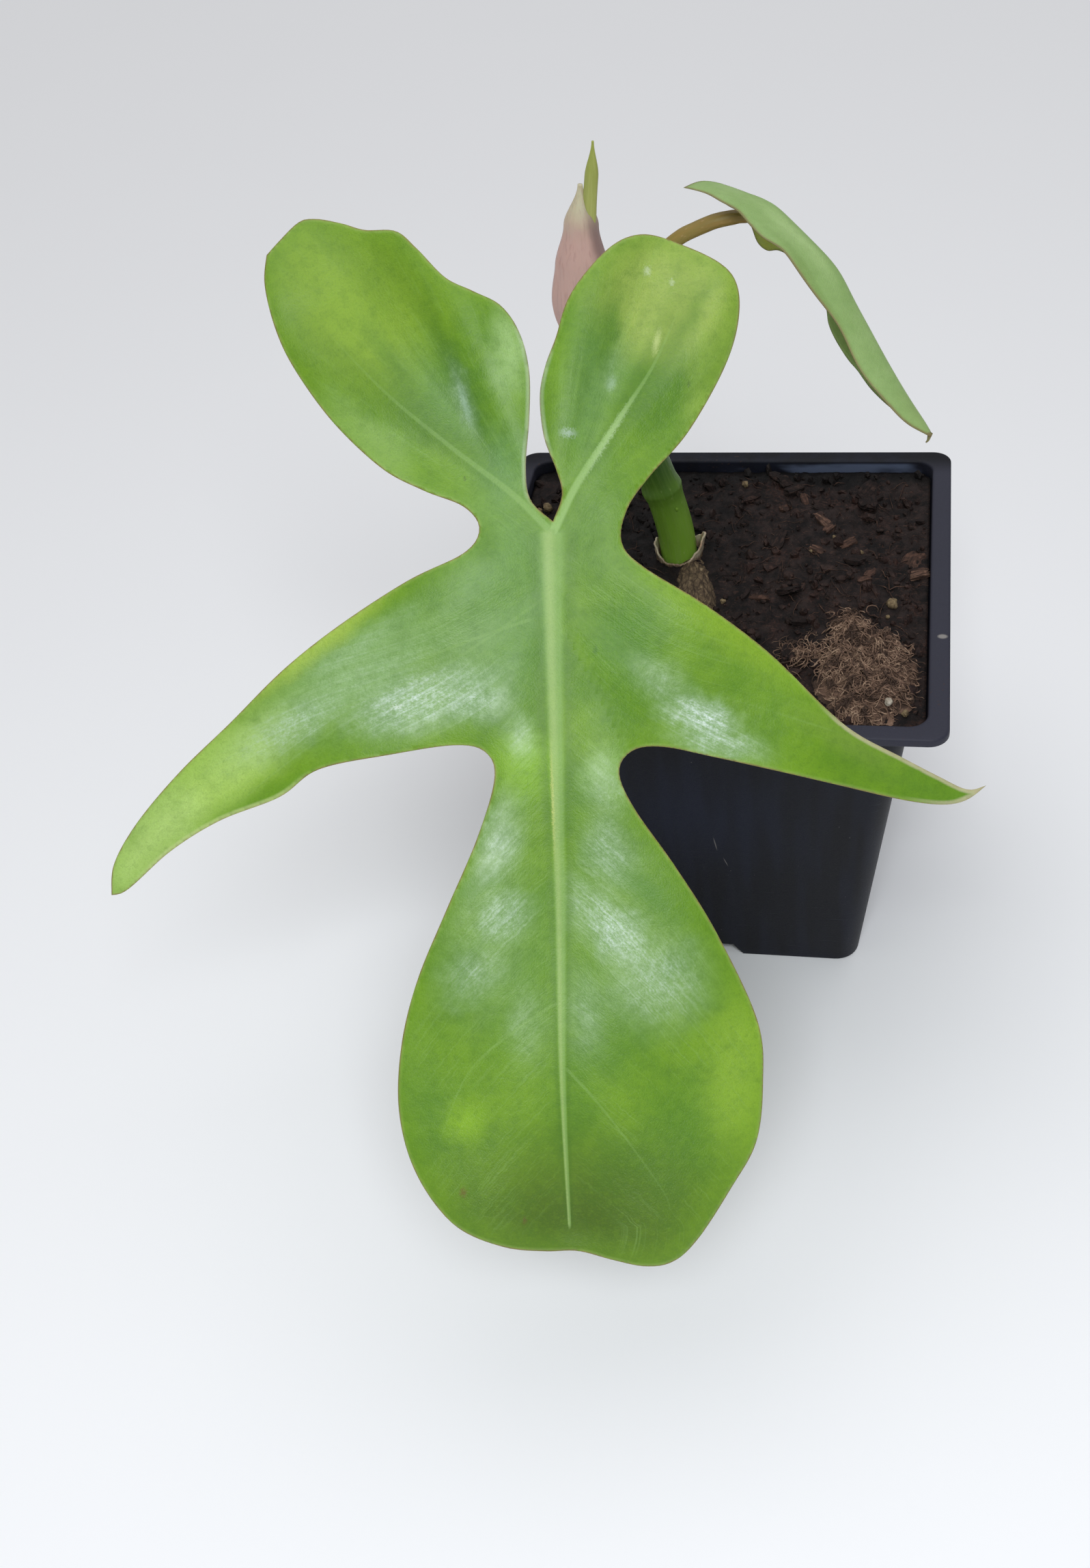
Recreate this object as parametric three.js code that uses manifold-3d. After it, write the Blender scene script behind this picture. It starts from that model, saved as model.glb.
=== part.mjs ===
// A young philodendron with a large five-lobed leaf, in a square nursery pot of potting mix.
// Millimetres, +Z up. The origin is the middle of the pot's base, in the plane that the pot stands on.
// +Y is the pot's back and +X its right, seen from the side that the large leaf hangs over.

import * as THREE from "three";
import { mergeVertices } from "three/addons/utils/BufferGeometryUtils.js";
import Module from "manifold-3d";

const wasm = await Module();
wasm.setup();

// Driving dimensions

const CLEARANCE = 0.3; // between pieces that touch

const POT = {
  rim: 90, // outside width over the rim, as on the common 9 cm pot
  height: 74,
  lip: 3.7, // width of the flat rim
  lipEdge: 1.7, // height of its edge
  collar: 3, // depth of the straight stretch inside the rim
  shoulder: 4.2, // how far the wall steps in under it, at 45 degrees
  wall: 1,
  base: 60, // outside width at the base
  floor: 4.6, // top of the raised floor
  recess: 3.4, // height of the drainage channel under it
  channel: 14, // width of that channel where it meets the ground
  channelRoof: 9.5, // its width at the top
  ring: 10.4, // radius of the channel's middle
  pad: 6, // radius of the foot in that middle
  pocket: 1.2, // thickness of the corner feet's soles and sides
  rimCorner: 3.5,
  bodyCorner: 4.5,
  drainHole: 3, // radius
  drainDistance: 20,
};

const SOIL = { level: 71.5, bumps: 130, chips: 24, rings: 10, sidePieces: 10, cornerSteps: 3 };

// The flat stretch of soil that the fibre tuft lies on
const TUFT = { x: 30.6, y: -25.4, halfX: 8.9, halfY: 13.6, height: 3 };

// Radii of the stems
const OLD_STEM = { start: 3.9, end: 3.6, ripple: 0.25 };
const ROOTS = { count: 7, start: 1.1, end: 0.55, reach: 24 };
const SHOOT = { base: 3.6, top: 3.4, swell: 0.45, nodes: [0.36, 0.56, 0.78] };
const BASE_SHEATH = { wall: 0.7, rim: 72.6, foot: 68.6, rightPoint: 3.8, leftPoint: 1.9 };
const PETIOLE_1 = { clasp: 3.6, middle: 2.3, end: 2.1 };
const PETIOLE_2 = { clasp: 2.6, middle: 1.3, end: 1.15 };
const FLATTENING = 0.8; // depth over width of the cataphyll and the new leaf

const BLADE_1 = { spacing: 4.6, margin: 2.6, thickness: 0.7, rib: 1.7, ribReach: 1.7 };
const BLADE_2 = { spacing: 2.6, margin: 1.8, thickness: 0.7, rib: 0.8, ribReach: 0.9 };

// Each leaf is laid out in a plane of its own: the petiole ends at its origin, y runs away from the tip,
// x across and z out of the upper face.
const LEAF_1_AT = { position: [-13.5, -66.1, 129.6], yaw: 15.7, tilt: 47.8, spin: -8.5 };
const LEAF_2_AT = { position: [10.7, 12.1, 142.8], yaw: 110.4, tilt: 59.9, spin: -50.8 };

// Outlines of the leaves, counter-clockwise from the notch where the petiole ends. Each stretch is one smooth
// curve, and the stretches meet in the lobes' pointed tips and in that notch.

const LEAF_1_OUTLINE = [
  // left basal lobe, inner side and round top
  [[0.1, 2.1], [-3.1, 5.2], [-3.8, 9.8], [-3.3, 16.7], [-3.3, 23.8], [-4.7, 29.6], [-7.4, 33.5], [-11.3, 35.3],
    [-15.4, 37.4], [-19.7, 42.2], [-22.9, 45.2], [-27.7, 46.1], [-31.3, 47.5], [-35.5, 48.6], [-38.3, 47.9],
    [-42.4, 42.8]],
  // its outer side, down to the notch, and the top of the left side lobe
  [[-42.4, 42.8], [-42.5, 37.9], [-40.7, 30.9], [-37.6, 24.8], [-31.8, 16.9], [-24.7, 10], [-18.6, 6.7],
    [-12.8, 4.3], [-10.5, 1], [-12.7, -2.6], [-20.9, -6.5], [-30.5, -12.3], [-38.9, -18.6], [-47.4, -26.3],
    [-55.7, -33.7], [-63.8, -42.4], [-67.4, -48.2], [-67.8, -52.9]],
  // lower side of the left side lobe, the end lobe and the lower side of the right side lobe
  [[-67.8, -52.9], [-65.1, -52], [-58.1, -46.2], [-49.7, -41.3], [-40.1, -37.7], [-34.1, -33.7], [-23.7, -31.6],
    [-14.1, -30.2], [-9.6, -31.2], [-8.3, -35], [-10.8, -43.6], [-15.3, -54.1], [-19.5, -64.2], [-21.9, -73.8],
    [-22.3, -83.7], [-19.9, -92.6], [-14.5, -99.9], [-7.5, -103.3], [-1.1, -104.4], [3.9, -104.5],
    [8.9, -105.6], [13.8, -106.5], [17.8, -105.8], [21.4, -102.5], [26.3, -95.2], [30, -88.5], [30.9, -79.7],
    [30, -70.3], [23.8, -57.3], [17.7, -47.6], [11.7, -39.1], [9.6, -34], [11.5, -31], [15.9, -30.4],
    [23.7, -31.9], [42.6, -36], [53, -38.2], [59.4, -38.9], [63.3, -38.2], [66.4, -36]],
  // top of the right side lobe and the right basal lobe
  [[66.4, -36], [63.4, -36.6], [58.9, -34.7], [52.5, -31.7], [45.4, -28.4], [40.3, -24.7], [31.5, -16.6],
    [22.4, -10.2], [13.3, -4.7], [10, -1.1], [10.8, 3.8], [14.1, 8.7], [19.7, 15.3], [25.2, 25.1], [27.3, 32.4],
    [26.6, 37.9], [22.4, 41.6], [15.9, 44.5], [11.4, 44.1], [7.1, 40.9], [2.5, 34.9], [0.5, 28.8], [-1, 24.7],
    [-1.8, 20.2], [-1.2, 14.2], [0.6, 9.4], [1.4, 5.9], [0.1, 2.1]],
];

const LEAF_1_RIBS = [
  [[0, 0.4], [0.2, -12], [0.6, -31], [1.2, -54], [1.5, -78], [2.6, -101]],
  [[0, 0.4], [-5.9, 6.2], [-15.8, 14], [-24.9, 21.8], [-35, 33]],
  [[0, 0.4], [3.9, 8], [9.3, 16.5], [14.6, 24.8], [18.5, 33.5]],
  [[0.1, -8], [-15, -18.4], [-32.7, -25.8], [-48.6, -35], [-62, -46.5]],
  [[0.1, -8], [14, -19.8], [29.1, -26.4], [44.8, -32.6], [60, -37]],
];

const LEAF_2_OUTLINE = [
  // near basal lobe, inner side
  [[0, 0.4], [-1.7, 2.3], [-2.4, 4.9], [-3, 7.3], [-4.3, 8.2], [-6.3, 8], [-9.3, 7.1]],
  // its outer side and the near half down to the tip
  [[-9.3, 7.1], [-8.7, 4.4], [-8.8, 1.4], [-8.1, -1.4], [-8.5, -4.4], [-9, -8.1], [-8.1, -11.4], [-7.9, -15.3],
    [-7.3, -20.5], [-6.9, -28], [-6.8, -33], [-6.6, -38], [-5.9, -42.4], [-4.4, -46.6], [-1.6, -50]],
  // far half, up to the far basal lobe
  [[-1.6, -50], [1.8, -46.6], [4.2, -43.4], [5.9, -40], [6.9, -36.4], [8.1, -31.4], [9.2, -28.4], [9.5, -26],
    [9.2, -23.3], [8.4, -20.9], [7, -18.8], [6.3, -15], [6.1, -10], [6.8, -5.8], [8.5, -3.6], [8.5, -1.2],
    [6.4, 1.4], [5.3, 3.6], [5, 5.6], [4.1, 8.1]],
  [[4.1, 8.1], [2.7, 7], [2, 4.8], [1.4, 2.4], [0, 0.4]],
];

const LEAF_2_RIBS = [
  [[0, -0.6], [0.1, -12], [0, -30], [-0.8, -47]],
  [[0, -0.6], [-4.6, 0.8], [-6.6, 4.4]],
  [[0, -0.6], [3.6, 0.6], [4, 5]],
];

// Centre lines of the stems, from where each one grows

const OLD_STEM_LINE = [[-2.2, -8, 70.9], [-3.4, 3, 69.2], [-5.2, 9.4, 67.6], [-8, 14, 64], [-12.3, 19.5, 57.5],
  [-15.2, 23, 50]];
const SHOOT_LINE = [[-7.6, 11.8, 65.5], [-7.5, 11.9, 71], [-7.8, 12, 76], [-9, 12.1, 82.5], [-11.2, 12.2, 90.5],
  [-13.8, 12.2, 98.5], [-16.4, 12.2, 106.5], [-18.6, 12.2, 114.9], [-20.2, 12.1, 122.7]];
const PETIOLE_1_LINE = [[-12.8, 12.3, 95.4], [-13.8, 7.4, 101.4], [-14.7, -1, 109], [-14.3, -11.5, 116],
  [-12.6, -30, 123.4], [-11.8, -48, 126.6], [-12.2, -58, 126.8], [-13.2, -66, 125.6], [-13.9, -71, 124]];
const PETIOLE_2_LINE = [[-16.9, 12.2, 107.6], [-13.4, 11.4, 114.6], [-11.1, 11, 122.5], [-8.9, 10.9, 130.5],
  [-6.1, 11, 135.7], [-3.3, 11, 138.1], [-0.4, 11, 139.5], [2.5, 11.1, 140.6], [5.3, 11.3, 141.1],
  [8.4, 11.4, 141.5], [11.6, 11.6, 142.2]];
const CATAPHYLL_LINE = [[-17.3, 12.2, 111], [-20, 12.1, 118.8], [-21.8, 12, 125.6], [-21.2, 12, 134.4],
  [-20.6, 12, 141.7], [-20.2, 12, 147.5]];
const CATAPHYLL_HALF_WIDTHS = [3.9, 4.8, 5.2, 4.4, 2.9, 0.4];
const NEW_LEAF_LINE = [[-19.4, 11.7, 136.3], [-18.8, 11.8, 143.2], [-17.8, 12, 150], [-17.3, 12, 154.9]];
const NEW_LEAF_HALF_WIDTHS = [0.8, 1.15, 1.1, 0.2];

const COLOURS = {
  pot: ["#1c1d20", 0.5],
  soil: ["#2c1e19", 0.95],
  fibre_tuft: ["#8f7256", 0.95],
  old_stem: ["#4a382b", 0.85],
  base_sheath: ["#94826a", 0.8],
  shoot: ["#3f6a20", 0.5],
  petiole_1: ["#7d6a34", 0.6],
  petiole_2: ["#8a6f38", 0.6],
  leaf_1: ["#6fa13a", 0.4],
  leaf_2: ["#8fb56b", 0.45],
  cataphyll: ["#b0948a", 0.55],
  new_leaf: ["#a5a550", 0.5],
};

// Helpers for shapes

const vector = ([x, y, z]) => new THREE.Vector3(x, y, z);
const smoothLine = (points) => new THREE.CatmullRomCurve3(points.map(vector));

// A repeatable stream of numbers from 0 to 1
function seeded(seed) {
  let state = seed;
  return () => {
    state = (state + 0x6d2b79f5) | 0;
    let t = Math.imul(state ^ (state >>> 15), 1 | state);
    t = (t + Math.imul(t ^ (t >>> 7), 61 | t)) ^ t;
    return ((t ^ (t >>> 14)) >>> 0) / 4294967296;
  };
}

function indexed(points, triangles) {
  return new THREE.BufferGeometry()
    .setFromPoints(points)
    .setIndex(triangles.flat());
}

// A closed body through rings of points, each going round counter-clockwise as seen from the ring after it
function loft(rings) {
  const around = rings[0].length;
  const middle = (ring) =>
    ring.reduce((sum, p) => sum.add(p), new THREE.Vector3()).divideScalar(around);
  const points = [...rings.flat(), middle(rings[0]), middle(rings.at(-1))];
  const first = points.length - 2;
  const last = points.length - 1;
  const triangles = [];
  for (let j = 0; j < around; j++) {
    const next = (j + 1) % around;
    for (let i = 0; i < rings.length - 1; i++) {
      const here = i * around;
      const above = here + around;
      triangles.push([here + j, here + next, above + next], [here + j, above + next, above + j]);
    }
    const top = (rings.length - 1) * around;
    triangles.push([first, next, j], [last, top + j, top + next]);
  }
  return indexed(points, triangles);
}

// A ring of a square with round corners, at one height
function squareRing(half, corner, z, steps = 5) {
  const ring = [];
  for (let quarter = 0; quarter < 4; quarter++) {
    for (let i = 0; i <= steps; i++) {
      const angle = ((quarter + i / steps) * Math.PI) / 2;
      const side = Math.PI / 4 + (quarter * Math.PI) / 2;
      const centre = (half - corner) * Math.SQRT2;
      ring.push(new THREE.Vector3(
        centre * Math.cos(side) + corner * Math.cos(angle),
        centre * Math.sin(side) + corner * Math.sin(angle),
        z,
      ));
    }
  }
  return ring;
}

// A stem along a curve: radius(t, angle) gives its reach at each place
function stem(curve, radius, sides, steps) {
  const frames = curve.computeFrenetFrames(steps);
  const rings = [];
  for (let i = 0; i <= steps; i++) {
    const centre = curve.getPointAt(i / steps);
    const ring = [];
    for (let j = 0; j < sides; j++) {
      const angle = (j / sides) * 2 * Math.PI;
      const reach = radius(i / steps, angle);
      ring.push(centre.clone()
        .addScaledVector(frames.normals[i], reach * Math.cos(angle))
        .addScaledVector(frames.binormals[i], reach * Math.sin(angle)));
    }
    rings.push(ring);
  }
  return loft(rings);
}

// A value at t from 0 to 1, read off a list of values at equal steps
function along(values, t) {
  const place = Math.min(t, 0.999999) * (values.length - 1);
  const k = Math.floor(place);
  return THREE.MathUtils.lerp(values[k], values[k + 1], THREE.MathUtils.smoothstep(place - k, 0, 1));
}

function box(low, high) {
  const size = vector(high).sub(vector(low));
  const centre = vector(high).add(vector(low)).multiplyScalar(0.5);
  return new THREE.BoxGeometry(size.x, size.y, size.z).translate(centre.x, centre.y, centre.z);
}

function upright(radius, low, high, sides = 20) {
  return new THREE.CylinderGeometry(radius, radius, high - low, sides)
    .rotateX(Math.PI / 2)
    .translate(0, 0, (low + high) / 2);
}

// Solids for cutting and joining

function solid(geometry) {
  const bare = new THREE.BufferGeometry()
    .setAttribute("position", geometry.getAttribute("position"))
    .setIndex(geometry.index);
  const merged = mergeVertices(bare, 1e-4);
  return new wasm.Manifold(new wasm.Mesh({
    numProp: 3,
    vertProperties: merged.getAttribute("position").array,
    triVerts: new Uint32Array(merged.index.array),
  }));
}

function geometryOf(body) {
  const mesh = body.getMesh();
  return new THREE.BufferGeometry()
    .setAttribute("position", new THREE.BufferAttribute(mesh.vertProperties, 3))
    .setIndex(new THREE.BufferAttribute(mesh.triVerts, 1));
}

const cut = (body, ...tools) => tools.reduce((rest, tool) => rest.subtract(solid(tool)), body);
const join = (body, ...others) => others.reduce((whole, other) => whole.add(solid(other)), body);

// Pot

const rimHalf = POT.rim / 2;
const lipHalf = rimHalf - POT.lip; // to the inside of the rim
const collarHalf = lipHalf + POT.wall;
const lipFoot = POT.height - POT.lipEdge;
const innerShoulder = { half: lipHalf - POT.shoulder, z: POT.height - POT.collar - POT.shoulder };
const outerShoulder = { half: innerShoulder.half + POT.wall, z: innerShoulder.z - 0.5 * POT.wall };
const outerHalf = (z) => THREE.MathUtils.mapLinear(z, 0, outerShoulder.z, POT.base / 2, outerShoulder.half);
const innerHalf = (z) => outerHalf(z) - POT.wall;
const innerCorner = POT.bodyCorner - POT.wall;

function channelUnderPot() {
  const wide = POT.channel / 2;
  const narrow = POT.channelRoof / 2;
  const reach = POT.base;
  const section = new THREE.Shape(planar([
    [-wide, -0.5],
    [wide, -0.5],
    [wide, 0],
    [narrow, POT.recess],
    [-narrow, POT.recess],
    [-wide, 0],
  ]));
  const arm = new THREE.ExtrudeGeometry(section, { depth: reach, bevelEnabled: false })
    .translate(0, 0, -reach / 2)
    .rotateX(Math.PI / 2);
  const across = arm.clone().rotateZ(Math.PI / 2);
  const whole = join(solid(arm), across, upright(POT.ring, -0.5, POT.recess));
  return cut(whole, upright(POT.pad, -1, POT.recess + 1));
}

// The pocket over a corner foot, or the soil in it, which is smaller by gap. The first one is in the corner
// where x and y are positive.
function footPocket(corner, gap, top) {
  const low = POT.channel / 2 + POT.pocket + gap;
  const high = innerHalf(0) - 1 - gap;
  return box([low, low, POT.pocket + gap], [high, high, top]).rotateZ((corner * Math.PI) / 2);
}

function pot() {
  const rings = [
    squareRing(POT.base / 2 - 0.5, POT.bodyCorner - 0.5, 0),
    squareRing(outerHalf(0.5), POT.bodyCorner, 0.5),
    squareRing(outerShoulder.half, POT.bodyCorner, outerShoulder.z),
    squareRing(collarHalf, POT.bodyCorner, outerShoulder.z + POT.shoulder),
    squareRing(collarHalf, POT.bodyCorner, lipFoot),
    squareRing(rimHalf - 0.3, POT.rimCorner - 0.3, lipFoot),
    squareRing(rimHalf, POT.rimCorner, lipFoot + 0.3),
    squareRing(rimHalf, POT.rimCorner, POT.height - 0.4),
    squareRing(rimHalf - 0.4, POT.rimCorner - 0.4, POT.height),
    squareRing(lipHalf + 0.5, innerCorner + 0.5, POT.height),
    squareRing(lipHalf, innerCorner, POT.height - 0.5),
    squareRing(lipHalf, innerCorner, POT.height - POT.collar),
    squareRing(innerShoulder.half, innerCorner, innerShoulder.z),
    squareRing(innerHalf(POT.floor), innerCorner, POT.floor),
  ];
  let body = solid(loft(rings)).subtract(channelUnderPot());
  for (let corner = 0; corner < 4; corner++) {
    const hole = upright(POT.drainHole, POT.recess - 1, POT.floor + 1, 12)
      .translate(POT.drainDistance, 0, 0)
      .rotateZ((corner * Math.PI) / 2);
    body = cut(body, footPocket(corner, 0, POT.floor + 0.1), hole);
  }
  return geometryOf(body);
}

// Old stem with its roots, shoot and the dry sheath round the shoot's foot

const oldStemLine = smoothLine(OLD_STEM_LINE);
const shootLine = smoothLine(SHOOT_LINE);

function rootLines() {
  const random = seeded(11);
  const lines = [];
  for (let k = 0; k < ROOTS.count; k++) {
    const from = oldStemLine.getPointAt(THREE.MathUtils.lerp(0.45, 0.95, k / (ROOTS.count - 1)));
    const turn = 2.4 * k + random();
    const spread = 22 + 15 * random();
    const end = new THREE.Vector3(
      THREE.MathUtils.clamp(from.x + spread * Math.cos(turn), -ROOTS.reach, ROOTS.reach),
      THREE.MathUtils.clamp(from.y + spread * Math.sin(turn), -ROOTS.reach, ROOTS.reach),
      9 + 12 * random(),
    );
    const bend = from.clone().lerp(end, 0.45).add(new THREE.Vector3(0, 0, 7));
    lines.push(new THREE.QuadraticBezierCurve3(from, bend, end));
  }
  return lines;
}

const roots = rootLines();
const { lerp } = THREE.MathUtils;

// The pieces that a neighbour is cut to fit round take extra, which is added to their radius for the cut
function oldStem(extra = 0) {
  const radius = (t) => lerp(OLD_STEM.start, OLD_STEM.end, t) + OLD_STEM.ripple * Math.sin(17 * t) + extra;
  const branches = roots.map((line) => stem(line, (t) => lerp(ROOTS.start, ROOTS.end, t) + extra, 6, 7));
  return join(solid(stem(oldStemLine, radius, 12, 10)), ...branches);
}

function shootBody(extra = 0) {
  const radius = (t) => {
    const swell = SHOOT.nodes.reduce((sum, at) => sum + Math.exp(-(((t - at) / 0.025) ** 2)), 0);
    return lerp(SHOOT.base, SHOOT.top, t) + SHOOT.swell * swell + extra;
  };
  return stem(shootLine, radius, 14, 26);
}

// A short tube round the shoot with a point at each side
function baseSheath() {
  const sides = 20;
  const inner = SHOOT.base + CLEARANCE + 0.1;
  const outer = inner + BASE_SHEATH.wall;
  const middle = (BASE_SHEATH.foot + BASE_SHEATH.rim) / 2;
  const [, [centreX, centreY]] = SHOOT_LINE;
  const point = (reach, z, lift) => (angle) => {
    const wave = lift * Math.abs(Math.cos(angle)) ** 5;
    const rise = Math.cos(angle) > 0 ? BASE_SHEATH.rightPoint : BASE_SHEATH.leftPoint;
    return new THREE.Vector3(
      centreX + (reach + 0.2 * wave) * Math.cos(angle),
      centreY + reach * Math.sin(angle),
      z + rise * wave,
    );
  };
  const profile = [
    point(inner, BASE_SHEATH.foot, 0),
    point(outer, BASE_SHEATH.foot, 0),
    point(outer + 0.1, middle, 0.2),
    point(outer + 0.2, BASE_SHEATH.rim, 1),
    point(inner + 0.2, BASE_SHEATH.rim, 1),
    point(inner + 0.1, middle, 0.2),
  ];
  const points = [];
  const triangles = [];
  for (let j = 0; j < sides; j++) {
    const angle = (j / sides) * 2 * Math.PI;
    profile.forEach((at) => points.push(at(angle)));
    const here = j * profile.length;
    const next = ((j + 1) % sides) * profile.length;
    for (let i = 0; i < profile.length; i++) {
      const up = (i + 1) % profile.length;
      triangles.push([here + i, next + i, next + up], [here + i, next + up, here + up]);
    }
  }
  return indexed(points, triangles);
}

// Petioles

function petioleRadius({ clasp, middle, end }) {
  return (t) => {
    const grip = Math.exp(-((t / 0.16) ** 2));
    const neck = Math.exp(-(((1 - t) / 0.1) ** 2));
    return middle + (clasp - middle) * grip + (end - middle) * neck;
  };
}

const petiole1 = () => stem(smoothLine(PETIOLE_1_LINE), petioleRadius(PETIOLE_1), 12, 30);
const petiole2 = () => stem(smoothLine(PETIOLE_2_LINE), petioleRadius(PETIOLE_2), 10, 26);

// Cataphyll, flattened front to back, and the rolled new leaf that stands in it

function flattened(line, halfWidths, sides, steps, extra) {
  const geometry = stem(smoothLine(line), (t) => along(halfWidths, t) + extra, sides, steps);
  const [[, y]] = line;
  return geometry.translate(0, -y, 0).scale(1, FLATTENING, 1).translate(0, y, 0);
}

const cataphyllBody = (extra = 0) => flattened(CATAPHYLL_LINE, CATAPHYLL_HALF_WIDTHS, 16, 16, extra);
const newLeafBody = (extra = 0) => flattened(NEW_LEAF_LINE, NEW_LEAF_HALF_WIDTHS, 8, 10, extra);

// Blades

const planar = (points) => points.map(([x, y]) => new THREE.Vector2(x, y));

// Delaunay triangles of points in the plane, as triples of their indices
function delaunay(points) {
  const far = 1e4;
  const all = [...points, ...planar([[-far, -far], [far, -far], [0, far]])];
  const circle = (corners) => {
    const [a, b, c] = corners.map((k) => all[k]);
    const twice = 2 * ((b.x - a.x) * (c.y - a.y) - (b.y - a.y) * (c.x - a.x));
    const ab = b.lengthSq() - a.lengthSq();
    const ac = c.lengthSq() - a.lengthSq();
    const centre = new THREE.Vector2(
      (ab * (c.y - a.y) - ac * (b.y - a.y)) / twice,
      (ac * (b.x - a.x) - ab * (c.x - a.x)) / twice,
    );
    return { corners, centre, reach: centre.distanceTo(a) };
  };
  let triangles = [circle([points.length, points.length + 1, points.length + 2])];
  points.forEach((point, k) => {
    const kept = [];
    const open = new Map();
    for (const triangle of triangles) {
      if (triangle.centre.distanceTo(point) >= triangle.reach) {
        kept.push(triangle);
        continue;
      }
      triangle.corners.forEach((from, i) => {
        const to = triangle.corners[(i + 1) % 3];
        if (!open.delete(`${to},${from}`)) open.set(`${from},${to}`, [from, to]);
      });
    }
    triangles = kept.concat([...open.values()].map(([from, to]) => circle([from, to, k])));
  });
  return triangles.map(({ corners }) => corners).filter((corners) => corners.every((k) => k < points.length));
}

function inside(point, polygon) {
  let odd = false;
  polygon.forEach((a, k) => {
    const b = polygon[(k + 1) % polygon.length];
    const crosses = a.y > point.y !== b.y > point.y;
    if (crosses && point.x < a.x + ((point.y - a.y) / (b.y - a.y)) * (b.x - a.x)) odd = !odd;
  });
  return odd;
}

function spaced(curve, step) {
  return curve.getSpacedPoints(Math.max(2, Math.round(curve.getLength() / step)));
}

const nearest = (point, others) => Math.min(...others.map((other) => other.distanceTo(point)));

// Points for one face of a blade: its margin, three rows along each rib and a lattice between them
function bladePoints(outline, ribs, { spacing, margin, ribReach }) {
  const edge = outline.flatMap((stretch) => spaced(new THREE.SplineCurve(planar(stretch)), margin).slice(1));
  const rows = [];
  for (const rib of ribs) {
    const line = new THREE.SplineCurve(planar(rib));
    const count = Math.round(line.getLength() / spacing);
    for (let i = 0; i <= count; i++) {
      const centre = line.getPointAt(i / count);
      const tangent = line.getTangentAt(i / count);
      for (const side of [0, -ribReach, ribReach]) {
        const point = new THREE.Vector2(centre.x - side * tangent.y, centre.y + side * tangent.x);
        const clear = nearest(point, edge) > 0.5 * margin && nearest(point, rows) > 0.7 * ribReach;
        if (clear && inside(point, edge)) rows.push(point);
      }
    }
  }
  const lattice = [];
  const rowHeight = (spacing * Math.sqrt(3)) / 2;
  const range = new THREE.Box2().setFromPoints(edge);
  for (let row = 0, y = range.min.y; y < range.max.y; y += rowHeight, row++) {
    for (let x = range.min.x + ((row % 2) * spacing) / 2; x < range.max.x; x += spacing) {
      // Moved by a hair, so that no four points lie on one circle
      const point = new THREE.Vector2(x + 0.01 * Math.sin(7 * y), y + 0.01 * Math.sin(5 * x));
      const clear = nearest(point, edge) > 0.55 * spacing && nearest(point, rows) > 0.6 * spacing;
      if (clear && inside(point, edge)) lattice.push(point);
    }
  }
  return { edge, inner: [...rows, ...lattice] };
}

// Triangles between the points, with the margin split wherever a triangle would cross it
function bladeTriangles(edge, inner) {
  for (let round = 0; round < 8; round++) {
    const points = [...edge, ...inner];
    const triangles = delaunay(points).filter((corners) => {
      const middle = corners.reduce((sum, k) => sum.add(points[k]), new THREE.Vector2()).divideScalar(3);
      return inside(middle, edge);
    });
    const sides = new Set(triangles.flatMap(([a, b, c]) => [`${a},${b}`, `${b},${c}`, `${c},${a}`]));
    const split = edge.flatMap((point, k) => {
      const next = (k + 1) % edge.length;
      return sides.has(`${k},${next}`) ? [point] : [point, point.clone().lerp(edge[next], 0.5)];
    });
    if (split.length === edge.length) return { points, triangles };
    edge = split;
  }
  throw new Error("the margin of a blade could not be kept");
}

// A blade: both faces have the same triangles, the lower one set back by the thickness
function blade(outline, ribs, sizes, height, thickness) {
  const { edge, inner } = bladePoints(outline, ribs, sizes);
  const { points, triangles } = bladeTriangles(edge, inner);
  const count = points.length;
  const rim = points.length - inner.length;
  const upper = points.map(({ x, y }) => new THREE.Vector3(x, y, height(x, y)));
  const lower = points.map(({ x, y }) => new THREE.Vector3(x, y, height(x, y) - thickness(x, y)));
  const faces = triangles.flatMap(([a, b, c]) => [[a, b, c], [count + a, count + c, count + b]]);
  for (let k = 0; k < rim; k++) {
    const next = (k + 1) % rim;
    faces.push([count + k, count + next, next], [count + k, next, k]);
  }
  return indexed([...upper, ...lower], faces);
}

function ribDistance(ribs) {
  const samples = ribs.flatMap((rib) => new THREE.SplineCurve(planar(rib)).getSpacedPoints(60));
  return (x, y) => nearest(new THREE.Vector2(x, y), samples);
}

const toRib1 = ribDistance(LEAF_1_RIBS);
const toRib2 = ribDistance(LEAF_2_RIBS);

// The basal lobes are pleated lengthwise, in folds that fan out from the notch
function pleats(x, y) {
  const reach = Math.hypot(x, y);
  const fade = THREE.MathUtils.smoothstep(y, 3, 20);
  return 0.028 * reach * fade * Math.cos(13 * Math.atan2(y, x));
}

// The large leaf is an umbrella: it falls away to every side of the petiole's end, and rises from its ribs
function height1(x, y) {
  const umbrella = 0.52 - 0.0038 * x * x - (y + 25) ** 2 / 1200;
  const shoulder = 1.5 * (1 - Math.exp(-((toRib1(x, y) / 6) ** 2)));
  const wave = 0.7 * Math.sin(0.19 * x + 1) * Math.sin(0.14 * y);
  return umbrella + shoulder + wave + pleats(x, y);
}

// The young leaf is folded down along its midrib and arched from end to end
function height2(x, y) {
  const fold = 0.75 * (Math.hypot(x, 2) - 2);
  const arch = 0.8 - 0.377 * y - 0.0152 * y ** 2 - 0.000163 * y ** 3;
  return arch - fold;
}

const thicknessOver = (distance, { thickness, rib, ribReach }) => (x, y) =>
  thickness + rib * Math.exp(-((distance(x, y) / ribReach) ** 2));

const leaf1 = () =>
  blade(LEAF_1_OUTLINE, LEAF_1_RIBS, BLADE_1, height1, thicknessOver(toRib1, BLADE_1));
const leaf2 = () =>
  blade(LEAF_2_OUTLINE, LEAF_2_RIBS, BLADE_2, height2, thicknessOver(toRib2, BLADE_2));

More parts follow.
